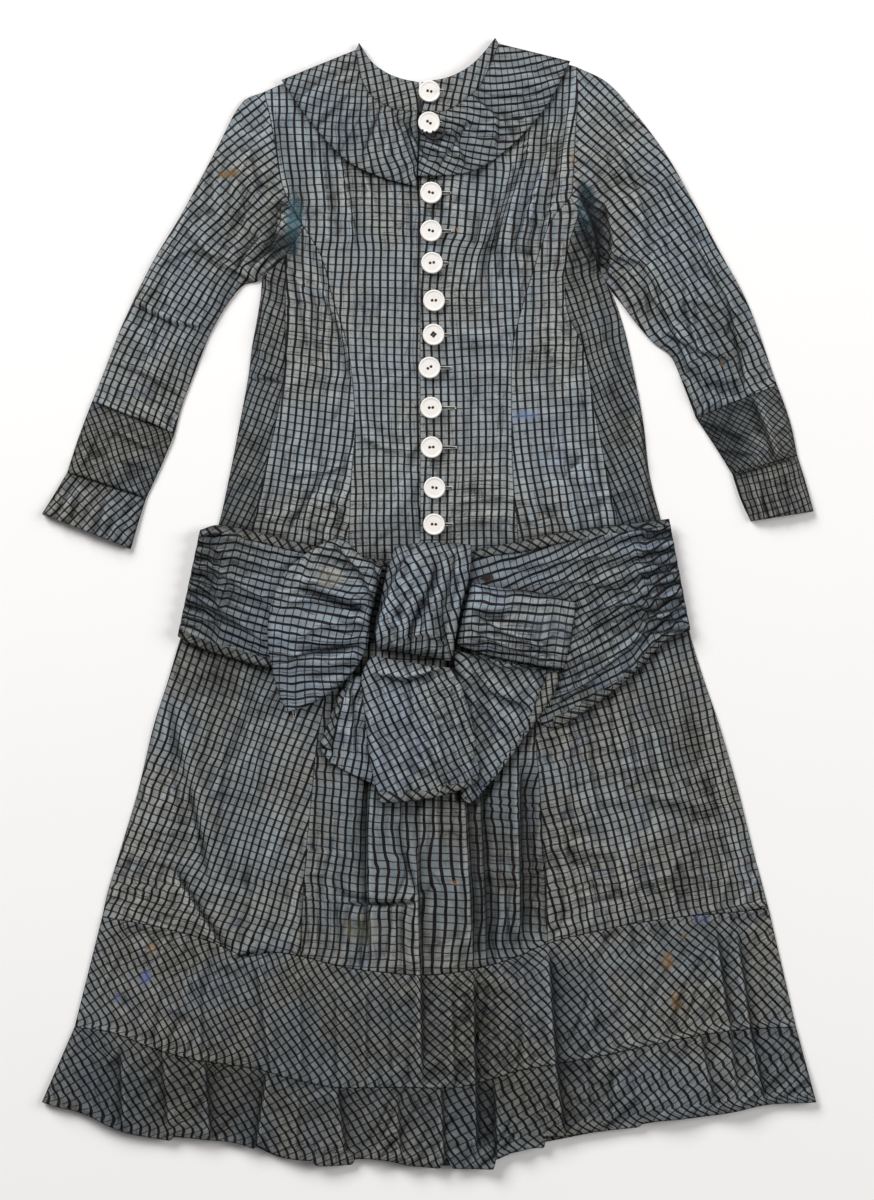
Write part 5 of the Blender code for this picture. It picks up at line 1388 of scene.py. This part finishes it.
def makeHiddenNeck():
    counts = np.linspace(0, 6, 50)
    neck, band, collar = (curve(hiddenNeck[name], counts) for name in ("neck", "band", "collar"))
    grid = ruled(band, neck, spread(18, 3))
    bottom = hiddenLift(*split(grid)) + cloth["hiddenSeat"]
    garment("neckband_under", grid, bottom, neckGrain["under"])
    grid = ruled(neck, collar, spread(50, 4))
    garment("collar_under", grid, cloth["hiddenSeat"], neckGrain["under"], held="gathered",
            gather=(1, collarShape["gather"]))


# Skirt, band and ruffle
skirtGrain = {
    "left": [(-191, -78, -25), (-215, -206, -20), (-119, -220, -19), (-135, -126, -19)],
    "centre": [(-71, -206, -10), (-27, -220, -4), (17, -215, 6), (65, -250, 4), (40, -120, 0)],
    "right": [(137, -126, 17), (137, -198, 13), (177, -158, 16), (233, -206, 14), (209, -94, 15)],
    "back": [(-230, -160, -16), (0, -160, 0), (240, -160, 15)],
    "band": [(-239, -286, 24), (-167, -302, 20), (-63, -318, 34), (17, -326, 44), (105, -318, 38),
             (185, -302, 50), (249, -278, 42)],
    "ruffle": [(-247, -370, 30), (-103, -410, 26), (9, -420, 30), (137, -400, 40), (249, -370, 47)],
}
gathers = {
    "band": 1.3,  # height of the band's gathers
    "ruffle": 3.4,  # height of the ruffle's waves
    "period": 6.5,  # of those waves, in gathers
    "bandCut": (1.12, 1),  # how much longer and taller each is cut
    "ruffleCut": (1.2, 1),
    "splits": ((0, 0), (6, 24), (13, 66), (18, 86)),  # stations across the hem and the gathers up to each
}
hemSteps = [  # place across, how far the hem steps up going right, and how sharply
    (-139, 3.0, 1.5), (-92, -3.0, 2.0), (-60, 3.5, 1.0), (53, 6.0, 0.8), (93, 6.0, 0.8),
    (-205, 3.0, 2.0), (170, 2.5, 2.0),
]


def hemShift(x):  # small uneven steps of the hem where its waves fold over
    total = 0.0 * x
    for place, rise, sharp in hemSteps:
        total += rise * (0.5 * np.tanh((x - place) / sharp) * np.exp(-np.abs(x - place) / 26))
    return 1.6 * total + 9 * np.exp(-(((x - 14) / 3.0) ** 2))


def skirtGrid(sides, first, last, cell, steps):  # between two seams, down to the seam of the band
    counts = countsAlong(np.mean(sides, axis=0), cell)
    low = curve(hemLines["top"], np.linspace(first, last, steps))
    low = evenAlong(low, spread(lengthOf(low), cell))
    fractions = (low[:, 0] - low[0, 0]) / (low[-1, 0] - low[0, 0])
    return bend(ruled(curve(sides[0], counts), curve(sides[1], counts), fractions), low, -1, counts, 3)


def makeSkirt():
    for node, left, right, first, last, cell in (
        ("left", "edgeLeft", "left", 0, 6, cloth["cell"]),
        ("centre", "left", "right", 6, 13, 1.7),
        ("right", "right", "edgeRight", 13, 18, cloth["cell"]),
    ):
        grid = skirtGrid((skirtLines[left], skirtLines[right]), first, last, cell, 200)
        bottom = frontBottom(*split(grid)) + cloth["seat"] - seamed(grid)
        garment("skirt_" + node, grid, bottom, skirtGrain[node], "skirt", on=["skirt_back"])
    sides = skirtLines["edgeLeft"], skirtLines["edgeRight"]
    grid = skirtGrid(sides, 0, 18, cloth["hiddenCell"], 400)
    x, y = split(grid)
    puff = 0.2 * smoothStep(4, 20, edgeMap.at(x, y)) * (1 + drift(x, y, 40, 12))
    garment("skirt_back", grid, cloth["hiddenSeat"] + puff, skirtGrain["back"], "skirt", shifted=0.8)


def makeBandAndRuffle():
    stations = np.linspace(0, 18, 460)
    number = np.interp(stations, *zip(*gathers["splits"]))
    top, low, hem = (curve(hemLines[name], stations) for name in ("top", "low", "hem"))
    down = spread(92, cloth["cell"])
    grid = ruled(top, low, down).transpose(1, 0, 2)
    x, y = split(grid)
    fine = 0.5 - 0.5 * np.cos(np.pi * number)
    finer = 0.5 + 0.5 * np.sin(2 * np.pi * number / 0.83 + 2 * np.sin(number / 3))
    near = np.exp(-down * 92 / 22)[:, None] + np.exp(-(1 - down) * 92 / 22)[:, None]
    gather = gathers["band"] * fine[None] * (1 - 0.4 * np.sin(np.pi * down))[:, None]
    gather = gather * (0.65 + 0.35 * drift(x, y, 50, 41)) + 0.55 * finer[None] * near
    bottom = frontBottom(x, y) + cloth["seat"] + gather - 0.7 * seamed(grid)
    garment("band_front", grid, bottom, skirtGrain["band"], "trim", on=["band_back"],
            held="gathered", gather=gathers["bandCut"])
    down = spread(62, 2.0)
    grid = ruled(low, hem, down).transpose(1, 0, 2)
    grid[..., 1] += hemShift(grid[..., 0]) * down[:, None] ** 2
    x, y = split(grid)
    turn = 2 * np.pi * number / gathers["period"] + 1.6 * np.sin(number / 3.1) + 1.1 * np.sin(number / 7.7)
    wave = gathers["ruffle"] * (0.5 + 0.5 * np.sin(turn))[None] * (0.12 + 0.88 * down**1.2)[:, None]
    wave = wave + 0.5 * finer[None] * np.exp(-down * 62 / 14)[:, None]
    bottom = frontBottom(x, y) + cloth["seat"] + wave - 0.8 * seamed(grid, (0.5,)) * (down < 0.5)[:, None]
    garment("ruffle_front", grid, bottom, skirtGrain["ruffle"], "trim", on=["ruffle_back"],
            held="gathered", gather=gathers["ruffleCut"], phase=(2.5, 1.5))
    stations = np.linspace(0, 18, 110)
    top, low, hem = (curve(hemLines[name], stations) for name in ("top", "low", "hem"))
    for node, upper, lower, wide, grain in (
        ("band_back", top, low, 92, "band"), ("ruffle_back", low, hem, 62, "ruffle"),
    ):
        grid = ruled(upper, lower, spread(wide, cloth["hiddenCell"])).transpose(1, 0, 2)
        garment(node, grid, cloth["hiddenSeat"], skirtGrain[grain], "trim", held="gathered",
                gather=gathers["bandCut"])


# Sash and its bindings
sashShape = {
    "waves": 7,  # folds where it is gathered into the side seam
    "gather": 3.2,  # their height
    "fineGather": 2.0,
    "binding": 7.0,  # width of its bound edges
    "grainLeft": [(-151, 34, 75), (-151, 2, 70), (-103, 2, 82), (-172, -20, 74), (-100, -40, 84)],
    "grainRight": [(60, 46, 100), (137, 2, 122), (169, 18, 116), (180, -10, 120), (110, -62, 108),
                   (100, 35, 112)],
}


def makeSash(side, rows, lowEnd):
    counts = countsAlong((np.array(rows["top"]) + np.array(rows["low"])) / 2, 1.8)
    strong = np.interp(counts, np.arange(len(rows["gather"])), rows["gather"])[:, None]

    def surface(counts, strong, across):
        grid = ruled(curve(rows["top"], counts), curve(rows["low"], counts), across)
        x, y = split(grid)
        wave = (0.5 - 0.5 * np.cos(2 * np.pi * sashShape["waves"] * across))[None]
        fine = (0.5 + 0.5 * np.sin(across * 92 + 5 * drift(x, y, 40, 51)))
        bottom = over(x, y) + cloth["seat"] + ridges(sashFolds, x, y)
        return grid, bottom + strong * (sashShape["gather"] * wave + sashShape["fineGather"] * fine)

    grid, bottom = surface(counts, strong, spread(100, 1.8))
    share = sashShape["binding"] / np.linalg.norm(grid[:, 0] - grid[:, -1], axis=1).mean()
    bound = []
    for edge, across, last in (
        ("upper", np.linspace(0, share, 6), len(rows["top"]) - 1),
        ("lower", np.linspace(1, 1 - share, 6), lowEnd),
    ):
        kept = counts <= last
        strip, low = surface(counts[kept], strong[kept], across)
        roll = 0.75 + 0.35 * np.sin(np.pi * np.linspace(0.1, 1, 6))
        turn = np.degrees(np.arctan2(*(strip[-1, 0] - strip[0, 0])[::-1]))
        bound.append(binding(f"sash_{side}_{edge}_binding", strip, low + roll, [(0, 0, turn + 45)]))
    garment("sash_" + side, grid, bottom, sashShape["grain" + side.title()], "sash", "sash_cotton",
            on=["bodice_front_" + side, "skirt_" + side], gather=(1.1, 1), shifted=0.4, bound=bound)


# Bow
bow = {
    "edgeThick": 2.4,  # of a rounded part at its edges
    "crease": 1.5,  # height of the gathers at the knot
    "foldHeight": 2.4,
    "grain": {
        "bow_left_loop": [(-71, -22, 79), (-103, -50, 84), (-60, 20, 62), (-80, -60, 100)],
        "bow_right_loop": [(81, -22, 82), (50, -30, 88)],
        "bow_knot": [(10, 20, 22), (1, 2, 14), (-7, -30, -10), (-20, 0, 40)],
        "bow_tail_centre": [(-15, -102, 27)],
        "bow_tail_right": [(65, -86, 40), (57, -126, 32)],
        "bow_tail_left": [(-63, -94, -10)],
    },
    "bound": {  # the bound edge and the way in from it, the stretch along it, and the turn of its yarns
        "bow_tail_centre": (0, 0, 3.68, 4, 50),
        "bow_tail_right": (1, 0, 0, 3.55, 10),
        "bow_tail_left": (0, 1, 0.45, 3.1, 40),
    },
    "folds": {  # listed folds of the bow: path, width and height
        "bow_left_loop": [
            ([(-112, 22), (-80, 10), (-43, -5)], 5, 2.2), ([(-108, 12), (-78, 2), (-46, -10)], 3, -1.8),
            ([(-110, -39), (-80, -38), (-46, -33)], 4, -2.2),
            ([(-104, -46), (-78, -48), (-50, -40)], 5, 1.4),
            ([(-92, 40), (-66, 28), (-40, 14)], 5, -1.4), ([(-100, -62), (-80, -58), (-58, -46)], 4, -1.2),
            ([(-72, -5), (-58, -14), (-44, -18)], 4, 1.2),
        ],
        "bow_right_loop": [
            ([(32, 6), (50, 0), (70, -4)], 4, 1.2), ([(30, -6), (48, -12), (64, -14)], 3, -1.2),
            ([(28, -22), (46, -30), (70, -38)], 4, 1.0), ([(90, -2), (92, -24), (90, -48)], 5, 0.7),
        ],
        "bow_knot": [
            ([(-10, 44), (-14, 20), (-30, -6), (-42, -26)], 5, 2.0),
            ([(8, 44), (4, 16), (-10, -12), (-20, -38)], 4, -2.2),
            ([(20, 42), (12, 14), (0, -14), (-4, -40)], 4, 1.6),
            ([(28, 30), (20, 6), (12, -18), (10, -42)], 3, -1.6),
            ([(-30, 18), (-22, 2), (-28, -18)], 4, -1.4), ([(-34, -8), (-22, -20), (-18, -36)], 3, 1.2),
            ([(-12, 8), (6, -2), (18, -16)], 4, 1.0),
        ],
        "bow_tail_centre": [
            ([(-48, -60), (-20, -66), (10, -58)], 3, -1.6), ([(-44, -54), (-18, -60), (8, -54)], 3, 1.4),
            ([(-50, -76), (-44, -110), (-38, -146)], 5, 1.2), ([(-30, -70), (-22, -100)], 8, 0.9),
            ([(12, -62), (22, -92), (32, -126)], 5, -1.2), ([(20, -62), (30, -92), (37, -124)], 4, 1.4),
        ],
        "bow_tail_right": [
            ([(30, -62), (48, -84), (64, -98)], 5, -1.6), ([(40, -60), (60, -72), (78, -74)], 5, 1.2),
            ([(28, -90), (38, -112), (40, -134)], 4, 1.2), ([(34, -74), (46, -100), (50, -120)], 4, -1.2),
            ([(52, -84), (62, -86), (74, -82)], 3, -1.2),
        ],
        "bow_tail_left": [
            ([(-52, -70), (-54, -100), (-52, -130)], 5, 0.8), ([(-70, -86), (-66, -120)], 5, -0.6),
        ],
    },
}


def throughLines(rows, counts, across):  # a grid through sections with three points each
    u = across[None, :, None]
    one, mid, two = (curve(rows[name], counts)[:, None] for name in ("one", "mid", "two"))
    return one * (1 - u) * (1 - 2 * u) + mid * 4 * u * (1 - u) + two * u * (2 * u - 1)


def makeBow():
    for node, rows, rounded in (
        ("bow_left_loop", loopLeft, True),
        ("bow_right_loop", loopRight, True),
        ("bow_knot", knotLines, True),
        ("bow_tail_centre", tailCentre, False),
        ("bow_tail_right", tailRight, False),
        ("bow_tail_left", tailLeft, False),
    ):
        counts = countsAlong(rows["mid"], 1.6)
        width = np.linalg.norm(np.subtract(rows["one"], rows["two"]), axis=1).mean()
        lift, thick = (
            np.interp(counts, np.arange(5), np.broadcast_to(rows[name], 5))[:, None]
            for name in ("lift", "thick")
        )

        def surface(counts, lift, thick, across, rows=rows, rounded=rounded, node=node):
            grid = throughLines(rows, counts, across)
            x, y = split(grid)
            bottom = over(x, y) + lift + cloth["seat"]
            folds = 0.3 * drift(x, y, 18, 61)
            for path, wide, rise in bow["folds"][node]:
                away, t, _ = toPath(x, y, path)
                taper = bow["foldHeight"] * rise * smoothStep(0, 0.25, t) * smoothStep(1, 0.75, t)
                folds += taper * np.exp(-((away / wide) ** 2))
            if not rounded:
                return grid, bottom + np.maximum(folds, -0.7), cloth["thick"]
            growth = (counts / counts.max())[:, None]
            roundOff = ((4 * across * (1 - across)) ** 0.5)[None]
            crease = bow["crease"] * (0.5 - 0.5 * np.cos(8 * np.pi * across))[None] * (1 - growth)
            high = bow["edgeThick"] - 0.8 + (thick - bow["edgeThick"] + crease + folds) * roundOff
            ends = smoothStep(-0.02, 0.1, growth) * smoothStep(1.03, 0.9, growth)
            return grid, bottom, np.maximum(high * (0.45 + 0.55 * ends), 1.0)

        bound = []
        if node in bow["bound"]:
            share = sashShape["binding"] / width
            start, end, first, last, turn = bow["bound"][node]
            if end == start:
                across = spread(width, 1.6)
            else:
                across = np.linspace(start, start + (end - start) * share, 6)
            kept = (counts >= first) & (counts <= last)
            strip, low, _ = surface(counts[kept], lift[kept], thick[kept], across)
            bound.append(binding(node + "_binding", strip, low + 0.85, [(0, 0, turn)]))
        grid, bottom, high = surface(counts, lift, thick, spread(width, 1.6))
        garment(node, grid, bottom, bow["grain"][node], "sash", "sash_cotton", thick=high, shifted=0.4,
                on=["sash_left", "sash_right"], held="folded" if rounded else "draped", bound=bound)


for side, yoke, bodice, sleeve, cuff in (
    ("left", yokeLeft, bodiceLeft, sleeveLeft, cuffLeft),
    ("right", yokeRight, bodiceRight, sleeveRight, cuffRight),
):
    makeSleeve(side, yoke, bodice, sleeve, cuff)
    makeNeck(side, yoke, bodice)
makeBodice()
makeBodiceBack()
makeHiddenNeck()
print("bodice, sleeves and collar made")
makeSkirt()
makeBandAndRuffle()
print("skirt, band and ruffle made")
makeSash("left", sashLeft, 4)
makeSash("right", sashRight, 4)
makeBow()
print("sash and bow made")


# Buttons, their thread and the buttonholes
buttonShape = {
    "across": 17.3,
    "thick": 3.0,
    "rim": 1.3,  # width of the raised rim
    "dish": 0.5,  # how far the middle lies below it
    "rings": (3.6, 0.14),  # the rings are this close out to here, for the holes
    "bevel": (-0.6, -0.3, 0.0, 0.35, 0.7, 0.95, 1.15, 1.3),  # rings from the rim's inner edge
    "sides": 72,
    "hole": 1.08,  # radius of a hole
    "holeDeep": 1.7,
    "apart": 1.45,  # from the middle to a hole
    "color": (0.80, 0.765, 0.72),
    "worn": (0.84, 0.80, 0.77),
    "shade": (0.60, 0.53, 0.47),
    "turns": (-12, -35, -14, -16, 8, 0, 4, 30, 2, 3, -8, -4),  # degrees, the way the holes lie
    "fourHoles": 6,  # which one has four
    "stitched": (1, 2, 6, 8, 9),
    "chipped": 1,  # which one has lost part of its rim
    "chips": ((4.5, 0.16), (5.1, 0.12), (4.05, 0.09)),  # where on the rim and how wide, in radians
    "chipDeep": 0.14,  # as a share of the radius
    "slits": (4, 3, 10, 11, 6, 4, 6, 12, 15, 15, 8, 9),  # how far each buttonhole shows past the button
    "threads": {"hole": 2.1, "stitch": 0.5, "edge": 0.75, "slit": 1.4},  # widths
}
looseThreads = [  # path, width and material
    ([(3.2, 362.5), (4.8, 361.0), (6.4, 361.8), (5.0, 359.6)], 1.5, "darkThread"),  # a missing button's
    ([(-108.5, -84), (-109.5, -89), (-107.5, -93)], 0.6, "paleThread"),
    ([(-106.5, -85), (-106.8, -91)], 0.6, "paleThread"),
    ([(-110.5, -83), (-113, -88)], 0.6, "paleThread"),
    ([(-5, 379), (-2, 372), (4, 369.5), (10, 371), (14, 376)], 2.2, "darkThread"),  # a torn edge
]


def buttonFinish():
    finish = Finish("buttonShell", buttonShape["color"], 0.32)
    where = finish.node("ShaderNodeTexCoord", output="Object")
    cloud = finish.noise(where, 0.006, 3.0)
    speck = finish.noise(where, 0.0012, 2.0, 0.7)
    color = finish.mix(finish.between(0.3, 0.75, cloud), buttonShape["color"], buttonShape["worn"])
    color = finish.mix(finish.between(0.66, 0.8, speck) * 0.5, color, buttonShape["shade"])
    finish.feed(finish.shader.inputs["Base Color"], color)
    finish.feed(finish.shader.inputs["Roughness"], 0.26 + 0.22 * speck)
    finish.bump(cloud, 0.12, 0.0003)
    return finish.material


def makeButton(number, x, y, seat):
    shape = buttonShape
    radius = shape["across"] / 2
    rim, count = radius - shape["rim"], shape["sides"]
    rings = np.concatenate([
        np.arange(0, *shape["rings"]), np.linspace(3.8, rim - 1, 6), rim + np.array(shape["bevel"]),
    ])
    turn = np.arange(count) / count * 2 * np.pi
    top, base = shape["thick"], shape["thick"] - shape["dish"]
    corners = [0, rim - 0.8, rim + 0.1, radius - 0.7, radius - 0.2, radius]
    rise = np.interp(rings, corners, (base, base + 0.05, top - 0.05, top, top - 0.3, top - 1.0))
    px, py = rings[:, None] * np.cos(turn), rings[:, None] * np.sin(turn)
    z = np.repeat(rise[:, None], count, 1)
    way = np.radians(shape["turns"][number])
    holes = [way, way + np.pi] if number != shape["fourHoles"] else [way + k * np.pi / 2 for k in range(4)]
    for angle in holes:
        away = np.hypot(px - shape["apart"] * np.cos(angle), py - shape["apart"] * np.sin(angle))
        z -= shape["holeDeep"] * (1 - smoothStep(shape["hole"] - 0.2, shape["hole"] + 0.12, away))
    if number == shape["chipped"]:
        for place, size in shape["chips"]:
            away = np.abs((turn - place + np.pi) % (2 * np.pi) - np.pi)
            shrink = 1 - shape["chipDeep"] * (1 - smoothStep(size * 0.4, size, away))
            outer = smoothStep(radius - 3, radius, rings)[:, None]
            px, py = (part * (1 + (shrink[None] - 1) * outer) for part in (px, py))
    under = np.stack([px[-1] * 0.9, py[-1] * 0.9, np.full(count, 0.1)], -1)
    skirt = np.stack([px[-1], py[-1], np.full(count, 0.9)], -1)
    places = np.concatenate([np.stack([px, py, z], -1).reshape(-1, 3), skirt, under, [[0, 0, 0.1]]])
    rows = len(rings) + 2
    faces = []
    for r in range(1, rows):
        a = np.arange(count)
        b = (a + 1) % count
        inner, outer = (r - 1) * count, r * count
        faces += np.stack([inner + a, outer + a, outer + b, inner + b], 1).tolist()
    last = rows * count
    faces += [[last, (rows - 1) * count + (k + 1) % count, (rows - 1) * count + k] for k in range(count)]
    mesh = bpy.data.meshes.new(f"button_{number}")
    mesh.from_pydata(((places + (x, y, seat)) * mm).tolist(), [], faces)
    mesh.validate()
    mesh.polygons.foreach_set("use_smooth", [True] * len(mesh.polygons))
    mesh.materials.append(materials["button"])
    name = f"{number + 1:02d}"
    wear(putIn("cloth_button_" + name, mesh), "button_" + name)
    high, wide = seat + base, shape["threads"]
    ends = [(x + shape["apart"] * np.cos(a), y + shape["apart"] * np.sin(a)) for a in holes]
    for k, end in enumerate(ends):  # dark thread deep in each hole, thick enough to fill it and so also its painted shade, and now and then a stitch between them
        line = [(*end, high - low) for low in (1.6, 0.5, 0.25)]
        thread(f"button_thread_{name}_{k}", line, wide["hole"], "darkThread")
    if number in shape["stitched"]:
        line = [(*ends[0], high - 0.5), (x, y, high + 0.3), (*ends[len(ends) // 2], high - 0.5)]
        thread("button_stitch_" + name, line, wide["stitch"], "darkThread")
    slit = shape["slits"][number]
    start = x + radius - 0.5
    ground = over(np.array(start + slit / 2), np.array(y)) + (3.0 if number < 2 else 0.1)
    for k, away in enumerate((-1.0, 1.0)):
        line = ((0, away, 0), (0.5, away, 0.2), (0.8, away * 0.5, 0))
        line = [(start + slit * along, y + side, ground + up) for along, side, up in line]
        thread(f"buttonhole_edge_{name}_{k}", line, wide["edge"], "paleThread")
    # the dark thread in the slit is painted shade of the gap
    line = ((0, 0, 0.3), (0.4, 0.1, 0.4), (0.72, -0.1, 0.2))
    line = [(start + slit * along, y + side, ground + up) for along, side, up in line]
    thread("buttonhole_slit_shade_" + name, line, wide["slit"], "darkThread")


materials["button"] = buttonFinish()
for number in range(12):
    low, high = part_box(f"button_{number + 1:02d}")
    makeButton(number, *buttons["at"][number], low[2] / mm)
for k, (line, wide, kind) in enumerate(looseThreads):
    rise = 3.6 if line[0][1] > 300 else 0.6
    ends = [(x, y, float(over(np.array(x), np.array(y))) + rise) for x, y in line]
    thread(f"loose_thread_{k}", ends, wide, kind)
print("buttons made")


# Floor, light and camera
studio = {
    "floor": (0.90, 0.882, 0.876),
    "floorReach": 4.0,  # metres from the middle
    "sky": (1.0, 0.995, 0.985),
    "world": 0.19,
    "lights": [  # name, place, width and height, and power; each looks at the dress
        ("keyLight", (-2.3, 3.0, 2.4), (2.8, 2.0), 232),
        ("fillLight", (3.6, 0.6, 2.4), (2.2, 2.4), 116),
    ],
    "camera": (0.0064, 0.002, 2.6),
    "sensor": 36,
    "seen": (0.96, 0.006),  # how much of the table shows from top to bottom, and how high that is measured
}


def makeStudio():
    floor = Finish("paleFloor", studio["floor"], 0.9)
    where = floor.node("ShaderNodeTexCoord", output="Object")
    paper = floor.noise(where, 0.004, 2.0)
    floor.bump(paper, 0.05, 0.0002)
    floor.shader.inputs["Specular IOR Level"].default_value = 0.1
    mesh = bpy.data.meshes.new("floor")
    r = studio["floorReach"]
    corners = [(-r, -r, 0), (r, -r, 0), (r, r, 0), (-r, r, 0)]
    mesh.from_pydata(corners, [], [(0, 1, 2, 3)])
    mesh.materials.append(floor.material)
    putIn("floor", mesh)
    world = bpy.data.worlds.new("studioWorld")
    bpy.context.scene.world = world
    world.use_nodes = True
    sky = world.node_tree.nodes["Background"]
    sky.inputs["Color"].default_value = (*studio["sky"], 1)
    sky.inputs["Strength"].default_value = studio["world"]
    for name, place, size, power in studio["lights"]:
        light = bpy.data.lights.new(name, "AREA")
        light.shape, light.size, light.size_y, light.energy = "RECTANGLE", *size, power
        made = putIn(name, light)
        made.location = place
        made.rotation_euler = (-Vector(place)).to_track_quat("-Z", "Y").to_euler()


def makeCamera():
    camera = bpy.data.cameras.new("camera")
    camera.sensor_fit, camera.sensor_width = "AUTO", studio["sensor"]
    seen, low = studio["seen"]
    camera.lens = studio["sensor"] * (studio["camera"][2] - low) / seen
    made = putIn("camera", camera)
    made.location = studio["camera"]
    bpy.context.scene.camera = made
    bpy.context.scene.view_settings.view_transform = "Standard"


makeStudio()
makeCamera()
print("floor, lights and camera made")
